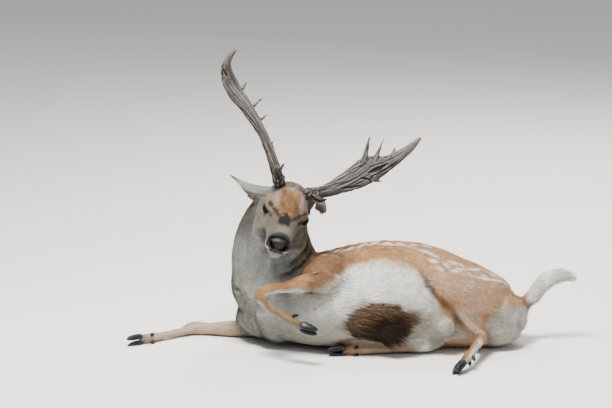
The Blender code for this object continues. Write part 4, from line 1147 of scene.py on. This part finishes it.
def make_coat():
    coat = values()[1]
    rng = np.random.default_rng(coat.seed)
    mesh = bpy.data.objects["skin"].data
    points, normals = points_of(mesh) - SHIFT, normals_of(mesh)
    weights, _, shares = pulls(points)
    crowd = coat_fields(points, normals, weights, shares)[3] * coat.amount
    roots, normals, uvs, hollow = scattered(mesh, rng, crowd)
    plan = roots - SHIFT
    weights, ways, shares = pulls(plan)
    lie = lie_of(plan, normals, weights, ways)
    length, lift, width, _ = coat_fields(plan, normals, weights, shares)
    lift, length = lift + radians(24) * hollow, length * (1 - 0.30 * hollow)
    colours = markings(plan, normals, weights, shares)
    count = len(roots)
    lie = swayed(lie, normals, plan, 0.022, 1.5, 0.7, rng)
    length = length * (0.70 + 0.45 * mottle(plan, 0.016, 1) + 0.30 * rng.random(count))
    lift = lift * (0.55 + 0.9 * rng.random(count))
    width = width * (0.8 + 0.4 * rng.random(count))
    # hair is shorter where it nears the end of the box
    room = CAD_BOX[1][0] - roots[:, 0]
    length = np.where(room < 0.03, np.minimum(length, 0.003 + 0.6 * np.maximum(room, 0)), length)
    owner = weights.argmax(axis=0)
    order = np.lexsort((plan[:, 0],))
    pieces = []
    for part in dict.fromkeys(COAT_PARTS.values()):
        lines = [k for k, name in enumerate(LINE_NAMES) if COAT_PARTS[name] == part]
        chosen = order[np.isin(owner[order], lines)]
        shares_of = np.array_split(chosen, max(1, -(-len(chosen) // MOST_TUFTS)))
        for k, some in enumerate(shares_of):
            name = f"coat_{part}" if len(shares_of) == 1 else f"coat_{part}_{k + 1}"
            fields = (roots, normals, lie, length, width, lift, colours, uvs)
            leaf = tuft_mesh(name, *(field[some] for field in fields), rng)
            pieces.append(finish(new_object(name, leaf)))
    return pieces


# ---------------------------------------------------------------- long hair
# Rings along a lock: share of its length, share of its width.
LOCK_RINGS = ((0.10, 0.75), (0.40, 1.0), (0.72, 0.72))
# Long hair: tufts to a square metre, length, width, lift in degrees, droop, and the way it lies.
LONG_HAIR = {
    "tail": (26e4, 0.030, 0.0022, 7, 0.002, None),
    "brush": (25e4, 0.060, 0.0020, 8, 0.005, (0.96, -0.05, -0.16)),
    "throat": (1.4e4, 0.017, 0.0014, 8, 0.002, None),
    "rump": (3.0e4, 0.022, 0.0020, 10, 0.002, None),
    "curls": (11e4, 0.0115, 0.0013, 15, 0.000, None),
    "whiskers": (1.6e4, 0.024, 0.0005, 48, 0.003, None),
    "lashes": (60e4, 0.0060, 0.0007, 30, 0.000, None),
}


def lock_faces():
    """The faces between a root point, three corners on each ring and a tip."""
    faces = [(0, 1, 3), (0, 3, 2), (0, 2, 1)]
    last = 1 + 3 * (len(LOCK_RINGS) - 1)
    for a in range(1, last, 3):
        for i, j in ((0, 2), (2, 1), (1, 0)):
            faces += [(a + i, a + 3 + i, a + 3 + j), (a + i, a + 3 + j, a + j)]
    tip = last + 3
    return np.array(faces + [(last, tip, last + 2), (last + 2, tip, last + 1), (last + 1, tip, last)])


def lock_mesh(name, roots, normals, ways, lengths, widths, lifts, droop, colours, uvs, rng):
    """Long pointed locks of three sides, bent along their length."""
    side = np.cross(normals, ways)
    length = lengths[:, None]
    rise = np.tan(lifts)[:, None] * length
    sway = (rng.random((len(roots), 1)) - 0.5) * 0.35 * length
    down = np.array((0.0, 0.0, -1.0))

    def middle(t):
        return (roots + ways * length * t + normals * rise * t**0.75 + side * sway * t**2
                + down * droop[:, None] * t**2)

    hairs = [roots - normals * 0.001]
    for t, share in LOCK_RINGS:
        half, at = widths[:, None] * share / 2, middle(t)
        hairs += [at - side * half, at + side * half, at + normals * half * 0.55]
    hairs.append(middle(1.0))
    soft = [normals] + [normals - 0.8 * side, normals + 0.8 * side, normals * 1.4] * len(LOCK_RINGS)
    soft.append(normals + 0.3 * ways)
    along = np.array([0.0] + [t for t, _ in LOCK_RINGS for _ in range(3)] + [1.0])
    across = np.array([0.0] + [-1.0, 1.0, 0.0] * len(LOCK_RINGS) + [0.0])
    local = np.stack([0.0013 * across, 0.003 * along - 0.0015], axis=1)
    # the lock's painted shade: darker at the root, lighter towards the tip
    return hair_mesh(name, np.stack(hairs, axis=1), lock_faces(), np.stack(soft, axis=1), 0.72 + 0.42 * along,
                     0.14, local, 0.0004, colours, uvs, rng)


def long_hair_areas(points, weights, shares):
    """Where each kind of long hair grows, from 0 to 1."""
    on, along = by_line(weights), by_line(shares)
    left, forward, up = head_places(points).T
    wide, head = np.abs(left), step(0.5, 0.8, on["head"])
    slit, across, out, gap = lid_places(left, forward, up)
    ratio = lid_ratio(slit, across)
    away = points - np.array((0.057, -0.185, 0.110))
    far = np.hypot(away[:, 0] / 0.094, away[:, 2] / 0.057)
    return {
        "tail": step(0.35, 0.7, on["tail"]) * step(0.02, 0.12, along["tail"]),
        "brush": step(1.1, 0.75, far) * step(-0.12, -0.15, points[:, 1]) * on["trunk"],
        "throat": step(0.4, 0.7, on["neck"]) * step(0.05, 0.09, points[:, 2]),
        "rump": on["trunk"] * step(0.47, 0.50, points[:, 0]),
        "curls": head * step(0.042, 0.030, wide) * step(0.006, 0.016, up) * step(0.046, 0.030, forward),
        "whiskers": (head * step(0.100, 0.115, forward) * step(0.150, 0.142, forward)
                     * step(0.016, 0.022, wide) * step(-0.030, -0.036, up) * step(-0.072, -0.066, up)),
        "lashes": ((out > 0) * (gap < 0.021) * (across > 0.001) * step(1.02, 1.08, ratio)
                   * step(1.32, 1.22, ratio)),
    }


def brush_colours(points, dark, rng):
    """Near black in the middle, with brown and straw at the upper and fore edges."""
    away = points - np.array((0.072, -0.185, 0.098))
    far = np.hypot(away[:, 0] / 0.105, away[:, 2] / 0.062)
    edge = step(0.35, 1.05, far + 0.35 * (rng.random(len(points)) - 0.5)) * step(-0.035, 0.010, away[:, 2])
    fringe = step(0.8, 1.2, edge + 0.5 * (rng.random(len(points)) - 0.5))
    return layered(even(dark * 0.55, points), ("brush_brown", edge), ("straw", 0.6 * fringe))


def make_long_hair():
    coat = values()[1]
    mesh = bpy.data.objects["skin"].data
    points = points_of(mesh) - SHIFT
    weights, _, shares = pulls(points)
    areas = long_hair_areas(points, weights, shares)
    off_ground = step(0.002, 0.006, points[:, 2])
    for k, (name, (crowd, length, width, lift, droop, way)) in enumerate(LONG_HAIR.items()):
        rng = np.random.default_rng(coat.seed + 100 + k)
        roots, out, uvs, hollow = scattered(mesh, rng, areas[name] * off_ground * crowd * coat.amount)
        plan = roots - SHIFT
        pull, ways, share = pulls(plan)
        lie = lie_of(plan, out, pull, ways)
        if way:
            lie = np.array(way) + 0.35 * (mottle(plan, 0.03)[:, None] - 0.5) + 0.25 * lie
            lie = unit(lie - out * np.sum(lie * out, axis=1, keepdims=True))
        count = len(roots)
        lie = swayed(lie, out, plan, 0.020, 3.2 if name == "curls" else 0.9, 0.4, rng)
        lengths = length * (0.55 + 0.75 * rng.random(count))
        if name == "brush":
            lengths *= 1.0 - 0.40 * step(0.06, 0.14, plan[:, 0])
        if name == "tail":
            lengths *= 1.0 - 0.45 * step(0.75, 1.0, by_line(share)["tail"])
        room = (np.array(CAD_BOX[1]) - roots)[:, 0] / np.maximum(lie[:, 0], 0.15)
        reach = (roots[:, 2] - 0.004) / np.maximum(-lie[:, 2], 0.05)
        lengths = np.minimum(np.minimum(lengths, np.maximum(room, 0.006)), np.maximum(reach, 0.010))
        lifts = np.radians(lift) * (0.4 + 1.1 * rng.random(count)) + radians(16) * hollow
        falls = np.minimum(droop * (0.5 + rng.random(count)), np.maximum(roots[:, 2] - 0.006, 0.0))
        if name == "brush":
            colours = brush_colours(plan, np.array(coat.dark), rng)
        elif name in ("whiskers", "lashes"):
            colours = even(TONES["bristle"], plan)
        else:
            colours = markings(plan, out, pull, share)
        hair = lock_mesh("hair_" + name, roots, out, lie, lengths, width * (0.7 + 0.6 * rng.random(count)),
                         lifts, falls, colours, uvs, rng)
        finish(new_object("hair_" + name, hair))


# ---------------------------------------------------------------- eyes, nose, hooves and antlers
def dress(obj, attribute, colour, material, nodes):
    """Paint, material, slot and the solids that the piece stands for."""
    paint(obj.data, attribute, colour)
    obj.data.materials.clear()
    obj.data.materials.append(material)
    return finish(obj, nodes)


def remeshed(name, nodes, swell, voxel, passes):
    """The solids as one even and relaxed mesh: the piece, its points in the frame and its edges."""
    obj = cad_copy(name, nodes, swell)
    use_modifier(obj, "REMESH", mode="VOXEL", voxel_size=voxel)
    edges = edges_of(obj.data)
    points = relaxed(points_of(obj.data), edges, passes, 0.5)
    move_to(obj.data, points)
    return obj, points, edges


def make_eyes():
    look, slit, above = eye_axes()
    for hand, name in ((1, "left"), (-1, "right")):
        middle = eye_at(hand) + Vector(SHIFT)
        eye = add_ball(middle, EYEBALL)
        eye.name = "eyeball_" + name
        points = points_of(eye.data)
        away = (points - np.array(middle)) / EYEBALL
        out = away @ HEAD_AXES
        out[:, 0] *= hand
        facing = out @ look
        move_to(eye.data, points + away * (0.0007 * step(0.72, 0.95, facing))[:, None])
        iris = step(0.80, 0.84, facing)
        pupil = step(1.1, 0.9, np.hypot(out @ slit / 0.42, out @ above / 0.20)) * iris
        colour = layered(even(TONES["eye_white"], points), ("iris", iris), ("pupil", pupil))
        material = finish_material("deer_eye", "eye_colour", 0.04, (30.0, 0.1), (500.0, 0.0),
                                   Specular_IOR_Level=0.30, Coat_Roughness=0.02, IOR=1.36)
        dress(eye, "eye_colour", colour, material, ("eye_" + name,))


def make_nose():
    nose, points, _ = remeshed("nose_pad", ("nose",), 0.0, 0.0009, 10)
    points = points - SHIFT
    left, forward, up = head_places(points).T
    wide = np.abs(left)
    gap = along_line(np.stack([wide, up, 0 * up], axis=1), np.insert(NOSTRIL, 2, 0, axis=1))[0]
    front = step(0.138, 0.150, forward)
    carve = -0.0085 * bell(gap, 0.0036) * front
    rim = 0.0013 * bell(gap - 0.0068, 0.0022) * front
    groove = -0.0015 * bell(wide, 0.0014) * step(-0.016, -0.022, up) * front
    pebble = 0.00022 * (mottle(points, 0.0016, 1) - 0.5) * 2
    points = points + HEAD_FORWARD * (carve + rim + groove + pebble)[:, None]
    heart = np.array(on_head(*NOSE_HEART))
    points = heart + (points - heart) * NOSE_SWELL
    move_to(nose.data, points + SHIFT)
    # painted highlight: a paler patch of wet shine in the middle of the pad
    middle = 0.7 * step(0.016, 0.004, wide) * step(-0.036, -0.020, up)
    # the nostrils painted near black: painted shade inside them
    colour = layered(even(TONES["nose"], points), ("painted_nose_shine", middle), ("nostril", bell(gap, 0.0048)))
    material = finish_material("deer_nose", "nose_colour", 0.40, (200.0, 0.2), (1300.0, 0.0008),
                               Specular_IOR_Level=0.30)
    dress(nose, "nose_colour", colour * (0.8 + 0.4 * mottle(points, 0.002, 1))[:, None], material,
          ("nose",))


def make_claw(node, leg, voxel):
    hoof = np.array(values()[2].hoof)
    horn, points, _ = remeshed(node + "_horn", (node,), 0.0, voxel, 7)
    middle = points.mean(axis=0)
    axis = np.linalg.svd(points[::7] - middle, full_matrices=False)[2][0]
    ankle = np.array(LINES[leg][0][-1]) + SHIFT
    axis = axis if (middle - ankle) @ axis > 0 else -axis
    place = (points - middle) @ axis
    share = (place - place.min()) / np.ptp(place)
    rings = 0.00006 * np.sin(2 * pi * (place + 0.002 * mottle(points, 0.01)) / HORN_PITCH)
    rings = rings * step(0.05, 0.2, share) * step(1.0, 0.75, share)
    points = points + normals_of(horn.data) * rings[:, None]
    points[:, 2] = np.maximum(points[:, 2], 0.0)
    move_to(horn.data, points)
    colour = even(hoof, points) * (0.7 + 0.7 * mottle(points, 0.006))[:, None]
    colour = layered(colour, (hoof * 2.6 + 0.02, 0.5 * step(0.45, 0.05, share)),
                     ("worn_hoof", 0.35 * step(0.9, 1.0, share)))
    colour *= (1.0 + 0.05 * np.sin(2 * pi * place / HORN_PITCH))[:, None]
    material = finish_material("deer_hoof", "horn_colour", 0.40, (120.0, 0.2), (900.0, 0.0002),
                               Specular_IOR_Level=0.32)
    dress(horn, "horn_colour", colour, material, (node,))


def make_hooves():
    for leg in LEG_NAMES:
        for claw in ("upper", "under"):
            for kind, voxel in (("hoof", 0.0011), ("dewclaw", 0.0008)):
                make_claw(f"{kind}_{leg}_{claw}", leg, voxel)


def nearest_lines(points, lines):
    """Gap to each line, the nearest line, its foot and how far along it that is, the beam's share
    from root to tip, and how near a tip is."""
    found = [line_frame(points, places) for places in lines]
    gaps = np.array([f[0] * (1.0 if k == 0 else 1.7) for k, f in enumerate(found)])
    nearest, every = gaps.argmin(axis=0), np.arange(len(points))
    foot = np.array([f[3] for f in found])[nearest, every]
    lengths = np.array([np.linalg.norm(np.diff(np.array(places), axis=0), axis=1).sum() for places in lines])
    travel = np.array([f[1] for f in found])[nearest, every] * lengths[nearest]
    tip = np.max([step(0.55, 1.0, f[1]) * (nearest == k) for k, f in enumerate(found)], axis=0)
    return gaps, nearest, foot, travel, found[0][1], tip


def cleft_mask(points, normals, clefts):
    """1 in the middle of a cleft on the near face, 0 outside."""
    mask = np.zeros(len(points))
    for places, half in clefts:
        gap, share, _ = along_line(points * (1, 0, 1), np.insert(places, 1, 0, axis=1))
        mask = np.maximum(mask, step(1.0, 0.45, gap / (half * (0.25 + np.sin(pi * share)))))
    return mask * step(0.1, -0.3, normals[:, 1])


def make_antler(side, line):
    horn = values()[2]
    bone, groove = np.array(horn.bone), np.array(horn.groove)
    nodes = [f"antler_{side}_{part}" for part in ("beam", "brow_tine", "palm")]
    antler, points, edges = remeshed("antler_" + side, nodes, 0.0004, horn.grain, 9)
    points, normals = points - SHIFT, normals_of(antler.data)
    gaps, nearest, foot, travel, along, tip = nearest_lines(points, [line, *ANTLER_TINES[side]])
    off = relaxed(points - foot, edges, 4, 0.5)
    drawn = off + nearest[:, None] * 0.17 + travel[:, None] * np.array((0.055, 0.04, 0.05))
    coarse, fine = (1 - np.abs(2 * mottle(drawn + start, size, 1) - 1)
                    for start, size in ((3.1, 0.0105), (0, 0.0036)))
    cut = step(0.70, 1.0, coarse) * 0.0026 + step(0.60, 1.0, fine) * 0.0009
    beads = (mottle(points, 0.0046, 1) - 0.45) * 0.0030 * step(0.12, 0.02, along) * (gaps[0] < 0.03)
    knobs = (mottle(points, 0.024, 1) - 0.5) * 0.0024
    cleft = cleft_mask(points, normals, CLEFTS[side])
    height = beads + knobs - cut * (1 - 0.7 * tip) - CLEFT_DEPTH * cleft
    points = points + normals * height[:, None]
    near, wide = (relaxed(height[:, None], edges, passes, 0.5)[:, 0] for passes in (3, 30))
    shade = near - wide
    hollow = step(0.0001, -0.0009, shade)
    # painted light: where the faces turn up and to the front, more on the left antler
    lit = step(-0.2, 0.8, normals @ np.array((-0.20, -0.45, 0.87))) * (1 - hollow) * step(0.10, 0.34, along)
    colour = even(bone, points) * (0.70 + 0.55 * mottle(points, 0.05))[:, None]
    colour = layered(
        colour, (groove, 0.85 * hollow), (groove * 1.7, 0.55 * step(0.22, 0.0, along)),
        # painted light on the faces turned up, painted shade on those turned down
        ("painted_top_light", ANTLER_LIGHT[side] * lit), (groove * 2.2, 0.62 * step(0.0, -0.6, normals[:, 2])),
        # the clefts painted near black: painted shade in them
        ("ridge", 0.60 * step(0.0001, 0.0009, shade)), ("cleft", 0.96 * cleft), ("tine_tip", 0.45 * tip**2))
    move_to(antler.data, points + SHIFT)
    material = finish_material("deer_antler", "bone_colour", 0.58, (90.0, 0.18), (700.0, 0.0006),
                               Specular_IOR_Level=0.4)
    dress(antler, "bone_colour", colour, material, nodes)


def make_antlers():
    for side, line in ANTLER_LINES.items():
        make_antler(side, line)


# ---------------------------------------------------------------- stage
LOOK_AT = (-0.149, 0, 0.444)
FLOOR_SIZE = 30.0
# Each lamp's place, width, power and tint.
LAMPS = {"key": ((-0.7, -0.9, 4.1), 1.7, 330, (1.0, 0.97, 0.92)),
         "fill": ((2.6, -3.0, 1.8), 3.0, 26, (0.95, 0.98, 1.0)),
         "rim": ((1.2, 3.0, 2.8), 2.2, 110, (1.0, 0.98, 0.95))}


def facing(way):
    """The turn that points a lamp or a camera along the way."""
    return way.to_track_quat("-Z", "Y").to_euler()


def make_stage():
    stage, scene = values()[3], bpy.context.scene
    bpy.ops.object.select_all(action="DESELECT")
    bpy.ops.mesh.primitive_plane_add(size=1.0, location=(0, 0, 0))
    floor = bpy.context.object
    floor.name = "floor"
    floor.data.transform(Matrix.Diagonal((FLOOR_SIZE, FLOOR_SIZE, 1.0, 1.0)))
    mat = bpy.data.materials.new("studio_floor")
    mat.use_nodes = True
    shader = mat.node_tree.nodes["Principled BSDF"]
    shader.inputs["Base Color"].default_value = (*stage.floor, 1)
    shader.inputs["Roughness"].default_value = 0.9
    floor.data.materials.append(mat)
    scene.world = scene.world or bpy.data.worlds.new("studio")
    scene.world.use_nodes = True
    sky = scene.world.node_tree.nodes["Background"]
    sky.inputs["Color"].default_value = (0.93, 0.96, 1.0, 1)
    sky.inputs["Strength"].default_value = 0.42
    for name, (place, size, power, tint) in LAMPS.items():
        bpy.ops.object.light_add(type="AREA", location=place)
        light = bpy.context.object
        light.name = "light_" + name
        light.data.shape = "DISK"
        light.data.size, light.data.energy, light.data.color = size, power, tint
        light.rotation_euler = facing(Vector((0, 0, 0.25)) - Vector(place))
    away = Vector((0, -cos(stage.elevation), sin(stage.elevation))) * stage.distance
    bpy.ops.object.camera_add(location=Vector(LOOK_AT) + Vector(SHIFT) + away)
    camera = bpy.context.object
    camera.rotation_euler = facing(-away)
    camera.data.lens = stage.lens
    camera.data.clip_end = 60
    scene.camera = camera
    scene.view_settings.look = "AgX - Medium High Contrast"


# ---------------------------------------------------------------- operators
class DEER_OT_skin(bpy.types.Operator):
    """Fuse the flesh into one skin and model its folds, lids and mouth"""
    bl_idname = "deer.skin"
    bl_label = "Skin"

    def execute(self, context):
        make_skin()
        return {"FINISHED"}


class DEER_OT_coat(bpy.types.Operator):
    """Set the short coat in tufts along the lie of the hair"""
    bl_idname = "deer.coat"
    bl_label = "Coat"

    def execute(self, context):
        make_coat()
        return {"FINISHED"}


class DEER_OT_long_hair(bpy.types.Operator):
    """Set the long locks of tail, brush, throat, rump and forehead, the whiskers and the lashes"""
    bl_idname = "deer.long_hair"
    bl_label = "Long Hair"

    def execute(self, context):
        make_long_hair()
        return {"FINISHED"}


class DEER_OT_eyes(bpy.types.Operator):
    """Set the two eyes between their lids"""
    bl_idname = "deer.eyes"
    bl_label = "Eyes"

    def execute(self, context):
        make_eyes()
        return {"FINISHED"}


class DEER_OT_nose(bpy.types.Operator):
    """Model the nose pad and its nostrils"""
    bl_idname = "deer.nose"
    bl_label = "Nose"

    def execute(self, context):
        make_nose()
        return {"FINISHED"}


class DEER_OT_hooves(bpy.types.Operator):
    """Model the hooves and dew claws with their growth rings"""
    bl_idname = "deer.hooves"
    bl_label = "Hooves"

    def execute(self, context):
        make_hooves()
        return {"FINISHED"}


class DEER_OT_antlers(bpy.types.Operator):
    """Fuse each antler and cut its grooves"""
    bl_idname = "deer.antlers"
    bl_label = "Antlers"

    def execute(self, context):
        make_antlers()
        return {"FINISHED"}


class DEER_OT_stage(bpy.types.Operator):
    """Lay the floor, the light and the camera"""
    bl_idname = "deer.stage"
    bl_label = "Stage"

    def execute(self, context):
        make_stage()
        return {"FINISHED"}


# ---------------------------------------------------------------- panel and running
OPERATORS = (DEER_OT_skin, DEER_OT_coat, DEER_OT_long_hair, DEER_OT_eyes, DEER_OT_nose, DEER_OT_hooves,
             DEER_OT_antlers, DEER_OT_stage)
GROUPS = {"deer_skin": SkinValues, "deer_coat": CoatValues, "deer_horn": HornValues,
          "deer_stage": StageValues}


class DEER_PT_panel(bpy.types.Panel):
    """The deer's pieces and their values"""
    bl_label = "Fallow Buck"
    bl_idname = "DEER_PT_panel"
    bl_space_type = "VIEW_3D"
    bl_region_type = "UI"
    bl_category = "Deer"

    def draw(self, context):
        for operator in OPERATORS:
            self.layout.operator(operator.bl_idname)
        for name, kind in GROUPS.items():
            box = self.layout.box()
            for value in kind.__annotations__:
                box.prop(getattr(context.scene, name), value)


def register():
    for kind in (*GROUPS.values(), *OPERATORS, DEER_PT_panel):
        bpy.utils.register_class(kind)
    for name, kind in GROUPS.items():
        setattr(bpy.types.Scene, name, PointerProperty(type=kind))


def unregister():
    for name in GROUPS:
        delattr(bpy.types.Scene, name)
    for kind in reversed((*GROUPS.values(), *OPERATORS, DEER_PT_panel)):
        bpy.utils.unregister_class(kind)


def main():
    register()
    for operator in OPERATORS:
        getattr(bpy.ops.deer, operator.bl_idname.split(".")[1])()


if __name__ == "__main__":
    main()
